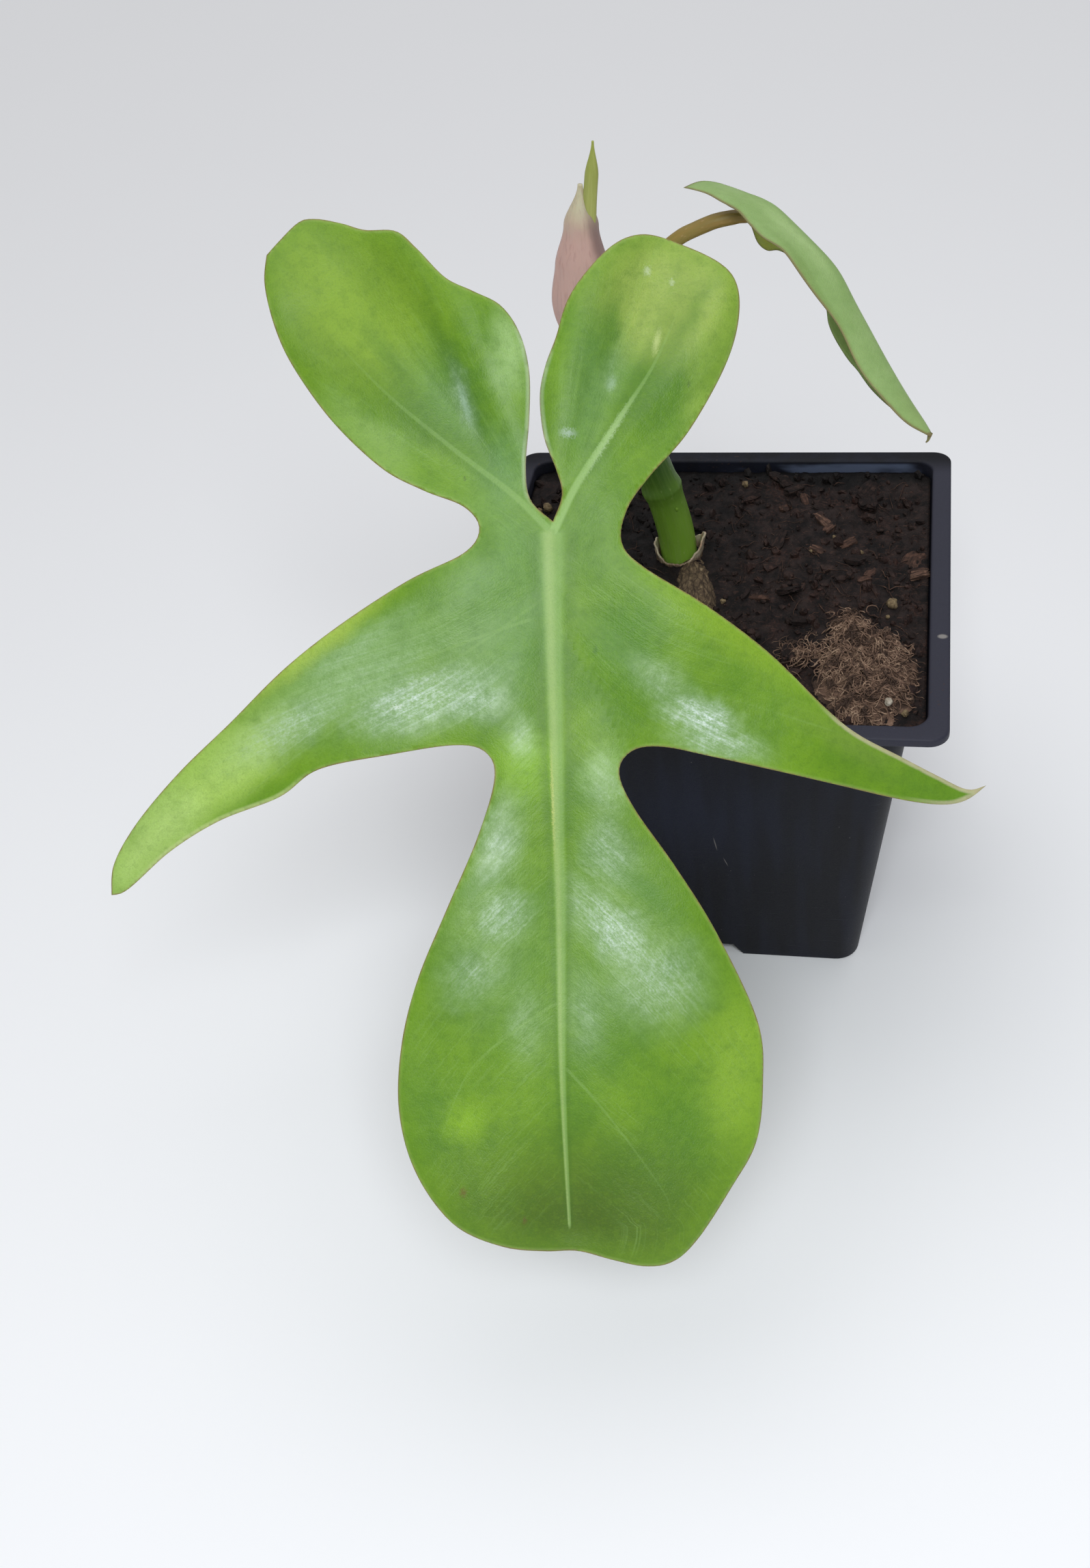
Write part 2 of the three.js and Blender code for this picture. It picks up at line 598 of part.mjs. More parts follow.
// Turns a leaf's own plane into its place on the plant
function placeLeaf(object, { position, yaw, tilt, spin }) {
  const radians = THREE.MathUtils.degToRad;
  object.position.fromArray(position);
  object.rotation.set(radians(tilt), 0, radians(yaw), "ZYX");
  object.rotateZ(radians(spin));
  return object;
}

// What lies above the underside of a leaf where its petiole ends: it trims the petiole to the leaf's slope
function aboveLeaf(place, level) {
  const slab = box([-12, -12, level], [12, 12, level + 16]);
  const holder = placeLeaf(new THREE.Object3D(), place);
  holder.updateMatrixWorld();
  return slab.applyMatrix4(holder.matrixWorld);
}

const underRib = (height, { thickness, rib }, y) => height(0, y) - thickness - rib - CLEARANCE;

// Soil

function soilBumps() {
  const random = seeded(5);
  return Array.from({ length: SOIL.bumps }, () => ({
    at: new THREE.Vector2(2 * random() - 1, 2 * random() - 1).multiplyScalar(lipHalf),
    reach: 2.4 + 4 * random(),
    rise: 2.6 * random() - 1.2,
  }));
}

const bumps = soilBumps();

// Distance from the tuft's middle, 1 at its border
const fromTuft = (x, y) => Math.hypot((x - TUFT.x) / TUFT.halfX, (y - TUFT.y) / TUFT.halfY);

function soilTop(x, y) {
  const here = new THREE.Vector2(x, y);
  const relief = bumps.reduce(
    (sum, { at, reach, rise }) => sum + rise * Math.exp(-((here.distanceTo(at) / reach) ** 2)),
    0,
  );
  const { smoothstep } = THREE.MathUtils;
  const fromWall = lipHalf - Math.max(Math.abs(x), Math.abs(y));
  return SOIL.level + relief * smoothstep(fromWall, CLEARANCE, 5) * smoothstep(fromTuft(x, y), 1.06, 1.4);
}

function barkChips() {
  const random = seeded(23);
  const chips = [];
  const half = lipHalf - 5;
  while (chips.length < SOIL.chips) {
    const x = (2 * random() - 1) * half;
    const y = (2 * random() - 1) * half;
    const size = [3 + 5 * random(), 2 + 2.5 * random(), 1 + 0.9 * random()];
    const [tiltX, tiltY, yaw] = [0.5 * random(), 0.5 * random(), Math.PI * random()];
    const besideStems = Math.hypot(x + 5, y - 8) < 17;
    if (besideStems || fromTuft(x, y) < 1.5) continue;
    chips.push(new THREE.BoxGeometry(...size)
      .rotateX(tiltX)
      .rotateY(tiltY)
      .rotateZ(yaw)
      .translate(x, y, soilTop(x, y) + 0.1));
  }
  return chips;
}

// A square ring whose straight sides are cut into equal pieces
function soilRing(half, z) {
  const ring = squareRing(half, innerCorner - CLEARANCE, z, SOIL.cornerSteps);
  return ring.flatMap((p, k) => {
    const straight = k % (SOIL.cornerSteps + 1) === SOIL.cornerSteps;
    const pieces = straight ? SOIL.sidePieces : 1;
    return Array.from({ length: pieces }, (_, i) => p.clone().lerp(ring[(k + 1) % ring.length], i / pieces));
  });
}

function soil() {
  const low = POT.floor + CLEARANCE;
  const outer = soilRing(lipHalf - CLEARANCE, SOIL.level);
  const rings = [
    soilRing(innerHalf(low) - CLEARANCE, low),
    soilRing(innerShoulder.half - CLEARANCE, innerShoulder.z + 0.5 * CLEARANCE),
    soilRing(lipHalf - CLEARANCE, POT.height - POT.collar + 0.5 * CLEARANCE),
  ];
  for (let k = 0; k < SOIL.rings; k++) {
    const share = 1 - k / SOIL.rings;
    rings.push(outer.map(({ x, y }) => new THREE.Vector3(share * x, share * y, soilTop(share * x, share * y))));
  }
  const plugs = [0, 1, 2, 3].map((corner) => footPocket(corner, CLEARANCE, low + 1));
  const whole = join(solid(loft(rings)), ...plugs, ...barkChips());
  return geometryOf(cut(whole, shootBody(CLEARANCE), roomForSheath()).subtract(oldStem(CLEARANCE)));
}

// The room in the soil for the sheath round the shoot's foot
function roomForSheath() {
  const reach = SHOOT.base + BASE_SHEATH.wall + 4 * CLEARANCE;
  const [, [x, y]] = SHOOT_LINE;
  return upright(reach, BASE_SHEATH.foot - CLEARANCE, SOIL.level + 6).translate(x, y, 0);
}

// Tuft of coconut fibre on the soil: a low lumpy mound
function fibreTuft() {
  const random = seeded(41);
  const lumps = Array.from({ length: 26 }, () => ({
    at: new THREE.Vector2(2 * random() - 1, 2 * random() - 1),
    rise: 0.9 * random() - 0.25,
  }));
  const around = 26;
  const shares = [1, 0.93, 0.8, 0.64, 0.48, 0.32, 0.16];
  const foot = SOIL.level + CLEARANCE;
  const mound = (angle, share) => {
    const ragged = 1 + 0.07 * Math.sin(5 * angle) + 0.05 * Math.sin(11 * angle + 1);
    const x = share * Math.cos(angle);
    const y = share * Math.sin(angle);
    const here = new THREE.Vector2(x, y);
    const relief = lumps.reduce(
      (sum, { at, rise }) => sum + rise * Math.exp(-((here.distanceTo(at) / 0.24) ** 2)),
      0,
    );
    const top = Math.max(0.5, TUFT.height * (1 - share * share) + relief);
    return new THREE.Vector3(TUFT.x + TUFT.halfX * ragged * x, TUFT.y + TUFT.halfY * ragged * y, foot + top);
  };
  const ring = (share) => Array.from({ length: around }, (_, j) => mound((j / around) * 2 * Math.PI, share));
  const sole = ring(0.97).map(({ x, y }) => new THREE.Vector3(x, y, foot));
  return loft([sole, ...shares.map(ring)]);
}

// Assembly

const plant = new THREE.Group();

function add(name, geometry, place) {
  const [color, roughness] = COLOURS[name];
  const material = new THREE.MeshStandardMaterial({ color, roughness, metalness: 0 });
  const mesh = new THREE.Mesh(geometry, material);
  mesh.name = name;
  if (place) placeLeaf(mesh, place);
  plant.add(mesh);
}

const roomForOldStem = oldStem(CLEARANCE);

add("pot", pot());
add("soil", soil());
add("fibre_tuft", fibreTuft());
add("old_stem", geometryOf(oldStem()));
add("shoot", geometryOf(solid(shootBody()).subtract(roomForOldStem)));
add("base_sheath", geometryOf(solid(baseSheath()).subtract(roomForOldStem)));
add("petiole_1", geometryOf(cut(
  solid(petiole1()),
  shootBody(CLEARANCE),
  aboveLeaf(LEAF_1_AT, underRib(height1, BLADE_1, -3)),
)));
add("petiole_2", geometryOf(cut(
  solid(petiole2()),
  shootBody(CLEARANCE),
  cataphyllBody(CLEARANCE),
  aboveLeaf(LEAF_2_AT, underRib(height2, BLADE_2, -1)),
)));
add("leaf_1", leaf1(), LEAF_1_AT);
add("leaf_2", leaf2(), LEAF_2_AT);
add("cataphyll", geometryOf(cut(solid(cataphyllBody()), shootBody(CLEARANCE), newLeafBody(CLEARANCE))));
add("new_leaf", newLeafBody());

export default plant;
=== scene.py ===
"""A young potted philodendron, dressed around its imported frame.

The plant has a large five-lobed leaf, a folded young leaf and a rolled new one on a leaning shoot. It stands
in a square nursery pot of potting mix. Sizes are millimetres in the pot's frame, until a finished mesh is
scaled to metres.
"""

import logging
import math
import random
import sys
from dataclasses import dataclass
from enum import Enum
from functools import reduce
from typing import Any, Callable, Iterable, Sequence

import bmesh
import bpy
import numpy as np
from mathutils import Matrix, Vector, noise

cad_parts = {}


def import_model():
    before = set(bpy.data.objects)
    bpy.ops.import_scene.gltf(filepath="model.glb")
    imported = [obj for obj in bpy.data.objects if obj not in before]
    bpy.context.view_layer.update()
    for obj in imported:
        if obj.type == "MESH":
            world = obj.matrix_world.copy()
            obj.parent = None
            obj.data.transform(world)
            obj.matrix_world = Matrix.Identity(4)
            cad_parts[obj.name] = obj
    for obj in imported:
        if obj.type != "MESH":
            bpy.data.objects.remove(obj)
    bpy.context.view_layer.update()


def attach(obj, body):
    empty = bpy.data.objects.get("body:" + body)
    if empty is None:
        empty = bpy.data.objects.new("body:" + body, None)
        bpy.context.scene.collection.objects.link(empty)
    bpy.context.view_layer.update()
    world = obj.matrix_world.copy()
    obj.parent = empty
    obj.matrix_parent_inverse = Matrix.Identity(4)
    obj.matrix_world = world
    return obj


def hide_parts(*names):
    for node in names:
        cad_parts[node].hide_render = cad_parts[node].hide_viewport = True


LOG = logging.getLogger("philodendron")

MM = 0.001
BODY = "root"
CLEARANCE = 0.3
MERGE = 1e-4

Points = Sequence[Sequence[float]]
Pair = tuple[float, float]
Triple = tuple[float, float, float]
Shade = Triple
Mesh = bmesh.types.BMesh
Socket = bpy.types.NodeSocket
Material = bpy.types.Material
Array = np.ndarray
Axes = tuple[Array, Array, Array]
Reach = Callable[[float, float], float]


class Slot(Enum):
    """The record's material slots."""

    POT = "pot_plastic"
    MIX = "potting_mix"
    COIR = "coconut_fibre"
    OLD_STEM = "old_stem"
    SHEATH = "dry_sheath"
    SHOOT = "green_stem"
    PETIOLE = "petiole"
    BLADE = "leaf_blade"
    YOUNG_BLADE = "young_blade"
    CATAPHYLL = "cataphyll"
    NEW_LEAF = "new_leaf"


# Shader maths


def linear(shade: Shade) -> tuple[float, ...]:
    """Turns an 8-bit screen colour into the renderer's linear one, with an alpha of 1."""
    parts = [value / 255 for value in shade]
    return (*(p / 12.92 if p <= 0.04045 else ((p + 0.055) / 1.055) ** 2.4 for p in parts), 1.0)


def operator(name: str, swapped: bool = False) -> Callable[..., "Field"]:
    """Makes a method of a field that adds a Math node.

    Args:
        name: The node's operation.
        swapped: Whether the other number comes first.

    Returns:
        The method.
    """

    def method(field: "Field", *others: Any) -> "Field":
        """Adds the Math node."""
        return field.paint.math(name, *((*others, field) if swapped else (field, *others)))

    return method


class Field:
    """A number that varies over a surface, with arithmetic that adds Math nodes."""

    __add__, __radd__ = operator("ADD"), operator("ADD", True)
    __sub__, __rsub__ = operator("SUBTRACT"), operator("SUBTRACT", True)
    __mul__, __rmul__ = operator("MULTIPLY"), operator("MULTIPLY", True)
    __pow__, __abs__, most = operator("POWER"), operator("ABSOLUTE"), operator("MAXIMUM")

    def __init__(self, paint: "Paint", socket: Socket) -> None:
        """Wraps one output socket of a paint's tree."""
        self.paint = paint
        self.socket = socket

    def ease(self, low: float, high: float) -> "Field":
        """Runs smoothly from 0 at low to 1 at high.

        Args:
            low: Value that gives 0. It may be above high.
            high: Value that gives 1.

        Returns:
            The eased field.
        """
        first, last, start, end = (low, high, 0.0, 1.0) if low < high else (high, low, 1.0, 0.0)
        sockets = {"Value": self, "From Min": first, "From Max": last, "To Min": start, "To Max": end}
        node = self.paint.node("ShaderNodeMapRange", {"interpolation_type": "SMOOTHSTEP"}, sockets)
        return Field(self.paint, node.outputs["Result"])


class Paint:
    """One material's node tree, built by expressions."""

    def __init__(self, name: str, colour: Shade) -> None:
        """Starts an empty material.

        Args:
            name: The material's name.
            colour: The shade that all others lie over.
        """
        self.colour: Any = linear(colour)
        self.material = bpy.data.materials.new(name)
        self.material.use_nodes = True
        self.tree = self.material.node_tree
        self.tree.nodes.clear()
        place = self.node("ShaderNodeTexCoord").outputs["Object"]
        self.place = self.scaled(place, (1 / MM, 1 / MM, 1 / MM))

    def node(self, kind: str, settings: dict | None = None, sockets: dict | None = None) -> bpy.types.Node:
        """Adds a node.

        Args:
            kind: The node's type.
            settings: Its properties, which are set first.
            sockets: Values, fields or sockets for its inputs, by name or number.

        Returns:
            The new node.
        """
        made = self.tree.nodes.new(kind)
        for key, value in (settings or {}).items():
            setattr(made, key, value)
        for key, value in (sockets or {}).items():
            self.feed(made.inputs[key], value)
        return made

    def feed(self, socket: Socket, value: Any) -> None:
        """Links a field or a socket to an input, or sets its value.

        Args:
            socket: The input.
            value: A field, a socket or a plain value.
        """
        if isinstance(value, Field):
            value = value.socket
        if isinstance(value, Socket):
            self.tree.links.new(value, socket)
        else:
            socket.default_value = value

    def math(self, operation: str, *values: Any) -> Field:
        """Adds a Math node."""
        node = self.node("ShaderNodeMath", {"operation": operation}, dict(enumerate(values)))
        return Field(self, node.outputs[0])

    def scaled(self, vector: Any, factors: Sequence[float]) -> Socket:
        """Multiplies a vector by a factor for each axis."""
        sockets = {0: vector, 1: tuple(factors)}
        return self.node("ShaderNodeVectorMath", {"operation": "MULTIPLY"}, sockets).outputs[0]

    def parts(self, vector: Any) -> list[Field]:
        """Splits a vector into its three numbers."""
        node = self.node("ShaderNodeSeparateXYZ", None, {0: vector})
        return [Field(self, output) for output in node.outputs]

    def attribute(self, name: str) -> Socket:
        """Reads a vector that each vertex of the mesh holds."""
        return self.node("ShaderNodeAttribute", {"attribute_name": name}).outputs["Vector"]

    def grain(self, size: float, vector: Any = None, detail: float = 2.0, rough: float = 0.5) -> Field:
        """Noise from 0 to 1 with features of a size in millimetres, read at the place or a vector."""
        sockets = {"Vector": vector or self.place, "Scale": 1 / size, "Detail": detail, "Roughness": rough}
        return Field(self, self.node("ShaderNodeTexNoise", None, sockets).outputs[0])

    def cells(self, size: float, vector: Any = None, feature: str = "F1") -> Field:
        """Distance to the nearest of scattered points, or to their cells' border, with a cell as its unit."""
        settings, sockets = {"feature": feature}, {"Vector": vector or self.place, "Scale": 1 / size}
        return Field(self, self.node("ShaderNodeTexVoronoi", settings, sockets).outputs["Distance"])

    def lay(self, share: Any, shade: Shade) -> None:
        """Lays a shade over the colour so far.

        Args:
            share: How much of the shade shows.
            shade: The shade.
        """
        settings = {"data_type": "RGBA", "clamp_factor": True}
        sockets = {0: share, 6: self.colour, 7: linear(shade)}
        self.colour = self.node("ShaderNodeMix", settings, sockets).outputs[2]

    def spot(self, plane: Sequence[Field], at: Pair, reach: Pair, soft: float = 1.0,
             turn: float = 0.0) -> Field:
        """A soft oval patch.

        Args:
            plane: The two fields that it lies in.
            at: Its middle.
            reach: Its half widths.
            soft: The share of its reach over which it fades.
            turn: How far it is turned, in degrees.

        Returns:
            1 in its middle and 0 outside it.
        """
        first, second = (axis - middle for axis, middle in zip(plane, at))
        cos, sin = math.cos(math.radians(turn)), math.sin(math.radians(turn))
        along = first * (cos / reach[0]) + second * (sin / reach[0])
        across = second * (cos / reach[1]) - first * (sin / reach[1])
        return ((along * along + across * across) ** 0.5).ease(1.0, 1.0 - soft)

    def dress(self, rough: Any, relief: Any = None, depth: float = 0.1, coat: Any = 0.0,
              **fixed: Any) -> Material:
        """Closes the tree with a Principled shader.

        Args:
            rough: Roughness, a number or a field.
            relief: Height of the fine relief, from about 0 to 1.
            depth: Millimetres that a relief of 1 stands for.
            coat: How much of a second, smoother gloss lies on top.
            fixed: Constant inputs of the shader, with underscores for spaces.

        Returns:
            The material.
        """
        sockets = {"Base Color": self.colour, "Roughness": rough, "Coat Weight": coat}
        shader = self.node("ShaderNodeBsdfPrincipled", None, sockets)
        for key, value in fixed.items():
            shader.inputs[key.replace("_", " ")].default_value = value
        if relief is not None:
            bump = self.node("ShaderNodeBump", None, {"Distance": depth * MM, "Height": relief})
            self.feed(shader.inputs["Normal"], bump.outputs[0])
        self.node("ShaderNodeOutputMaterial", None, {"Surface": shader.outputs[0]})
        return self.material


# Finishes


@dataclass(frozen=True)
class PotPlastic:
    """Satin black moulded plastic with faint upright bands, scuffs and dust, a painted lit rim, painted sheen
    and a painted highlight.
    """

    base: Shade = (13, 13, 18)
    # The bloom's shade also paints a bluish sheen; lit paints light on the rim's top; sheen paints a
    # highlight inside the back wall.
    bloom_and_sheen: Shade = (26, 30, 46)
    lit: Shade = (55, 55, 67)
    sheen: Shade = (96, 106, 130)
    dust: Shade = (150, 145, 140)
    soil: Shade = (70, 52, 44)
    height: float = 74.0
    scratch: tuple[Pair, Pair] = ((3.2, 36.5), (0.16, 2.4))
    hair: tuple[Pair, Pair] = ((4.6, 31.0), (0.13, 1.6))
    speck: tuple[Pair, Pair] = ((43.6, -16.6), (1.1, 0.8))
    streak: tuple[Pair, Pair] = ((44.0, -44.8), (0.8, 0.3))
    # Middle and reach of the painted bluish sheen of light on the front.
    painted_sheen_spot: tuple[Pair, Pair] = ((-2.0, 46.0), (34.0, 26.0))

    def material(self) -> Material:
        """Builds the plastic.

        Returns:
            The material.
        """
        paint = Paint("pot plastic", self.base)
        x, y, z = paint.parts(paint.place)
        top = self.height
        bands = paint.grain(3.4, paint.scaled(paint.place, (1.0, 1.0, 0.02)), 1.0)
        cloud = paint.grain(24.0, detail=3.0)
        mottle = paint.grain(0.35)
        scuffs = paint.grain(0.5, paint.scaled(paint.place, (0.05, 0.4, 1.0))).ease(0.66, 0.78)
        low = z.ease(2.5, 0.0)
        front = y.ease(-28.0, -31.0)
        scratch = paint.spot((x + (z - 34.0) * 0.13, z), *self.scratch, 0.7) * front
        hair = paint.spot((x + (z - 31.0) * 0.3, z), *self.hair, 0.7) * front
        speck = paint.spot((x, y), *self.speck, 0.5) * z.ease(top - 1.0, top - 0.2)
        streak = paint.spot((x, y), *self.streak, 0.7) * z.ease(top - 2.0, top - 0.5)
        motes = paint.cells(2.3).ease(0.05, 0.02) * paint.grain(9.0).ease(0.5, 0.65)
        crumbs = paint.grain(0.7, detail=3.0).ease(0.62, 0.7) * z.ease(top - 4.0, top - 1.0)
        crumbs = crumbs * cloud.ease(0.45, 0.6)
        # Painted highlight: a bluish reflection of light on the inner back wall, just under the rim.
        painted_highlight = y.ease(40.6, 41.2) * z.ease(top - 0.4, top - 1.0) * z.ease(top - 8.0, top - 4.0)
        painted_highlight = painted_highlight * x.ease(-4.0, 6.0) * x.ease(41.0, 37.0)
        painted_highlight = painted_highlight * paint.grain(5.0, paint.scaled(paint.place, (0.3, 1.0, 1.0)), 3.0).ease(0.4, 0.6)
        # Painted light: the rim's top is lit, all but the back rim, which stays in shade.
        rim = z.ease(top - 3.4, top - 1.6) * y.ease(43.0, 36.0)
        # Painted sheen: a bluish reflection of light on the upper left of the front.
        painted_sheen = paint.spot((x, z), *self.painted_sheen_spot) * front
        paint.lay(bands.ease(0.35, 0.7) * 0.35 + cloud * 0.2 + painted_sheen * 0.45, self.bloom_and_sheen)
        paint.lay(rim * (0.7 + mottle * 0.3), self.lit)
        paint.lay(scuffs * 0.18 + low * 0.25, self.bloom_and_sheen)
        paint.lay(painted_highlight * 0.8, self.sheen)
        paint.lay(crumbs * 0.5, self.soil)
        marks = (scratch * 0.5).most(hair * 0.5).most(speck).most(streak * 0.6).most(motes * 0.5)
        paint.lay(marks * 0.8, self.dust)
        rough = 0.42 + mottle * 0.12 + cloud * 0.1 - scuffs * 0.06 + marks * 0.2
        relief = bands * 0.6 + mottle * 0.25 - scuffs * 0.2 - scratch * 0.5
        return paint.dress(rough, relief, 0.06, Specular_IOR_Level=0.2)


@dataclass(frozen=True)
class MoistMix:
    """Dark moist potting mix: peat, bark dust and short fibres, with painted shade under the leaf and along
    the back wall.
    """

    dark: Shade = (14, 10, 10)
    middle: Shade = (41, 29, 26)
    pale: Shade = (80, 57, 48)
    rust: Shade = (72, 46, 38)
    # Shade, middle and reach of the painted shade under the large leaf.
    painted_shade: Shade = (8, 7, 7)
    painted_shade_at: Pair = (-14.0, 20.0)
    painted_shade_reach: Pair = (34.0, 34.0)

    def material(self) -> Material:
        """Builds the mix.

        Returns:
            The material.
        """
        paint = Paint("potting mix", self.dark)
        clods = paint.grain(3.2, detail=5.0, rough=0.62)
        grit = paint.grain(0.55, detail=3.0, rough=0.6)
        threads = paint.grain(0.45, paint.scaled(paint.place, (0.25, 1.0, 1.0))).ease(0.6, 0.7)
        lumps = paint.cells(1.5)
        paint.lay(clods.ease(0.36, 0.66), self.middle)
        paint.lay(threads * 0.5 + grit.ease(0.58, 0.74) * 0.45, self.pale)
        paint.lay(lumps.ease(0.75, 0.35) * 0.25, self.dark)
        rust = paint.grain(7.0, detail=3.0, rough=0.6).ease(0.5, 0.7)
        paint.lay(rust * grit.ease(0.4, 0.6) * 0.4, self.rust)
        x, y, _ = paint.parts(paint.place)
        # Painted shade: the large leaf's shadow round the shoot, and the shade in the gap along the back
        # wall.
        leaf_shadow = paint.spot((x + clods * 8.0, y + grit * 4.0), self.painted_shade_at, self.painted_shade_reach) * 0.75
        paint.lay(leaf_shadow.most(y.ease(34.5, 38.0) * 0.8), self.painted_shade)
        rough = 0.8 - clods.ease(0.3, 0.7) * 0.2
        relief = clods * 0.5 + grit * 0.5 + threads * 0.2
        return paint.dress(rough, relief, 0.5, Specular_IOR_Level=0.22)


@dataclass(frozen=True)
class Bark:
    """Bark of a chip, read in the chip's own place so that its grain runs along it."""

    name: str
    dark: Shade
    middle: Shade
    pale: Shade
    soiled: float = 0.8
    soil: Shade = (24, 17, 15)

    def material(self) -> Material:
        """Builds the bark.

        Returns:
            The material.
        """
        paint = Paint(self.name, self.dark)
        own = paint.attribute("own")
        streaks = paint.grain(0.5, paint.scaled(own, (0.18, 1.0, 1.0)), 4.0, 0.6)
        tone = paint.grain(9.0, own, 1.0)
        flakes = paint.cells(1.6, paint.scaled(own, (0.4, 1.0, 1.0)))
        paint.lay(streaks.ease(0.3, 0.62), self.middle)
        paint.lay(tone.ease(0.42, 0.66) * streaks.ease(0.4, 0.7), self.pale)
        soiled = paint.grain(1.6, detail=4.0, rough=0.65).ease(0.44, 0.56)
        paint.lay(soiled * self.soiled, self.soil)
        relief = streaks * 0.8 + flakes * 0.4 + soiled * 0.3
        return paint.dress(0.72 + streaks * 0.2, relief, 0.25, Specular_IOR_Level=0.22)


@dataclass(frozen=True)
class Fibre:
    """Dry plant fibre. Each strand has a tone of its own, from -1 to 1, in the vector "own"."""

    name: str
    dark: Shade
    middle: Shade
    pale: Shade
    patch: float = 2.2

    def material(self) -> Material:
        """Builds the fibre.

        Returns:
            The material.
        """
        paint = Paint(self.name, self.dark)
        own, _, _ = paint.parts(paint.attribute("own"))
        tone = paint.grain(self.patch, detail=3.0, rough=0.6) + own * 0.16
        fine = paint.grain(0.3)
        paint.lay(tone.ease(0.34, 0.52), self.middle)
        paint.lay(tone.ease(0.5, 0.7) * fine.ease(0.3, 0.7), self.pale)
        return paint.dress(0.75 + fine * 0.2, fine + tone, 0.15, Specular_IOR_Level=0.3)


@dataclass(frozen=True)
class Stalk:
    """Skin of a stem or petiole, read in length and round it so that its streaks run along it."""

    name: str
    low: Shade
    high: Shade
    streak: Shade
    fleck: Shade
    length: float
    rough: float = 0.42
    streaks: float = 0.5
    flecks: float = 0.3
    grooves: float = 0.1
    clear: float = 0.1
    fade: Pair = (0.0, 1.15)
    gloss: float = 0.5

    def material(self) -> Material:
        """Builds the skin.

        Returns:
            The material.
        """
        paint = Paint(self.name, self.low)
        skin = paint.attribute("skin")
        _, _, along = paint.parts(skin)
        lines = paint.grain(0.55, paint.scaled(skin, (1.0, 1.0, 0.07)), 3.0, 0.6)
        cloud = paint.grain(4.5, paint.scaled(skin, (1.0, 1.0, 0.4)))
        dots = paint.cells(0.9, paint.scaled(skin, (1.0, 1.0, 0.55))).ease(0.24, 0.1)
        pits = paint.grain(0.22, skin, 1.0)
        fade = (along + cloud * 0.15 * self.length).ease(*(share * self.length for share in self.fade))
        paint.lay(fade, self.high)
        paint.lay(lines.ease(0.42, 0.68) * self.streaks * (1.0 - fade * 0.5), self.streak)
        paint.lay(dots * self.flecks * cloud.ease(0.35, 0.6), self.fleck)
        rough = self.rough + cloud * 0.12 + lines * 0.06
        relief = lines * 0.7 + pits * 0.3 + dots * self.flecks * 0.5
        return paint.dress(rough, relief, self.grooves, Specular_IOR_Level=self.gloss,
                           Subsurface_Weight=self.clear, Subsurface_Scale=0.002,
                           Subsurface_Radius=(1.0, 1.0, 0.3))


@dataclass(frozen=True)
class DryBark:
    """Corky skin of the old stem, cracked along and ringed by leaf scars."""

    dark: Shade = (58, 45, 34)
    middle: Shade = (108, 90, 68)
    pale: Shade = (150, 130, 102)

    def material(self) -> Material:
        """Builds the skin.

        Returns:
            The material.
        """
        paint = Paint("old stem skin", self.dark)
        skin = paint.attribute("skin")
        cracks = paint.cells(1.1, paint.scaled(skin, (1.0, 1.0, 0.3)), "DISTANCE_TO_EDGE")
        cork = paint.grain(0.8, paint.scaled(skin, (1.0, 1.0, 0.35)), 4.0, 0.65)
        stain = paint.grain(4.0, skin)
        paint.lay(cork.ease(0.3, 0.62), self.middle)
        paint.lay(cork.ease(0.52, 0.7) * stain.ease(0.35, 0.6), self.pale)
        paint.lay(cracks.ease(0.08, 0.0) * 0.7, self.dark)
        relief = cork + cracks.ease(0.0, 0.12) * 0.6
        return paint.dress(0.8 + cork * 0.15, relief, 0.22, Specular_IOR_Level=0.3)


@dataclass(frozen=True)
class Papery:
    """Dead papery sheath with upright fibres."""

    dark: Shade = (96, 74, 56)
    middle: Shade = (150, 130, 104)
    pale: Shade = (198, 184, 158)
    rust: Shade = (150, 88, 48)
    rust_at: Pair = (-2.9, 74.8)
    rust_reach: Pair = (1.0, 1.2)

    def material(self) -> Material:
        """Builds the paper.

        Returns:
            The material.
        """
        paint = Paint("papery sheath", self.dark)
        x, _, z = paint.parts(paint.place)
        fibres = paint.grain(0.35, paint.scaled(paint.place, (1.0, 1.0, 0.12)), 3.0, 0.6)
        stain = paint.grain(2.0, detail=3.0)
        rim = (z + stain * 1.6).ease(72.4, 74.0)
        paint.lay(fibres.ease(0.32, 0.62), self.middle)
        paint.lay(rim * 0.8, self.pale)
        rust = paint.spot((x, z), self.rust_at, self.rust_reach)
        paint.lay(rust * 0.5 + stain.ease(0.6, 0.75) * 0.3, self.rust)
        return paint.dress(0.62 + fibres * 0.25, fibres + stain * 0.4, 0.12, Subsurface_Weight=0.1,
                           Subsurface_Scale=0.001)


@dataclass(frozen=True)
class Patch:
    """A soft patch of another colour on a blade, in the blade's own plane. Most are the blade's own colour;
    some are painted shade and painted light.
    """

    at: Pair
    reach: Pair
    shade: Shade
    strength: float = 0.6
    turn: float = 0.0
    soft: float = 1.0
    under: bool = False

    def share(self, paint: Paint, plane: Sequence[Field]) -> Field:
        """How strongly the patch shows at each place of a plane."""
        return paint.spot(plane, self.at, self.reach, self.soft, self.turn) * self.strength


@dataclass(frozen=True)
class Shine:
    """A soft patch of sheen on a blade, in the blade's own plane."""

    at: Pair
    reach: Pair
    strength: float
    turn: float = 0.0

    def share(self, paint: Paint, plane: Sequence[Field]) -> Field:
        """How strongly the sheen shows at each place of a plane."""
        return paint.spot(plane, self.at, self.reach, turn=self.turn) * self.strength


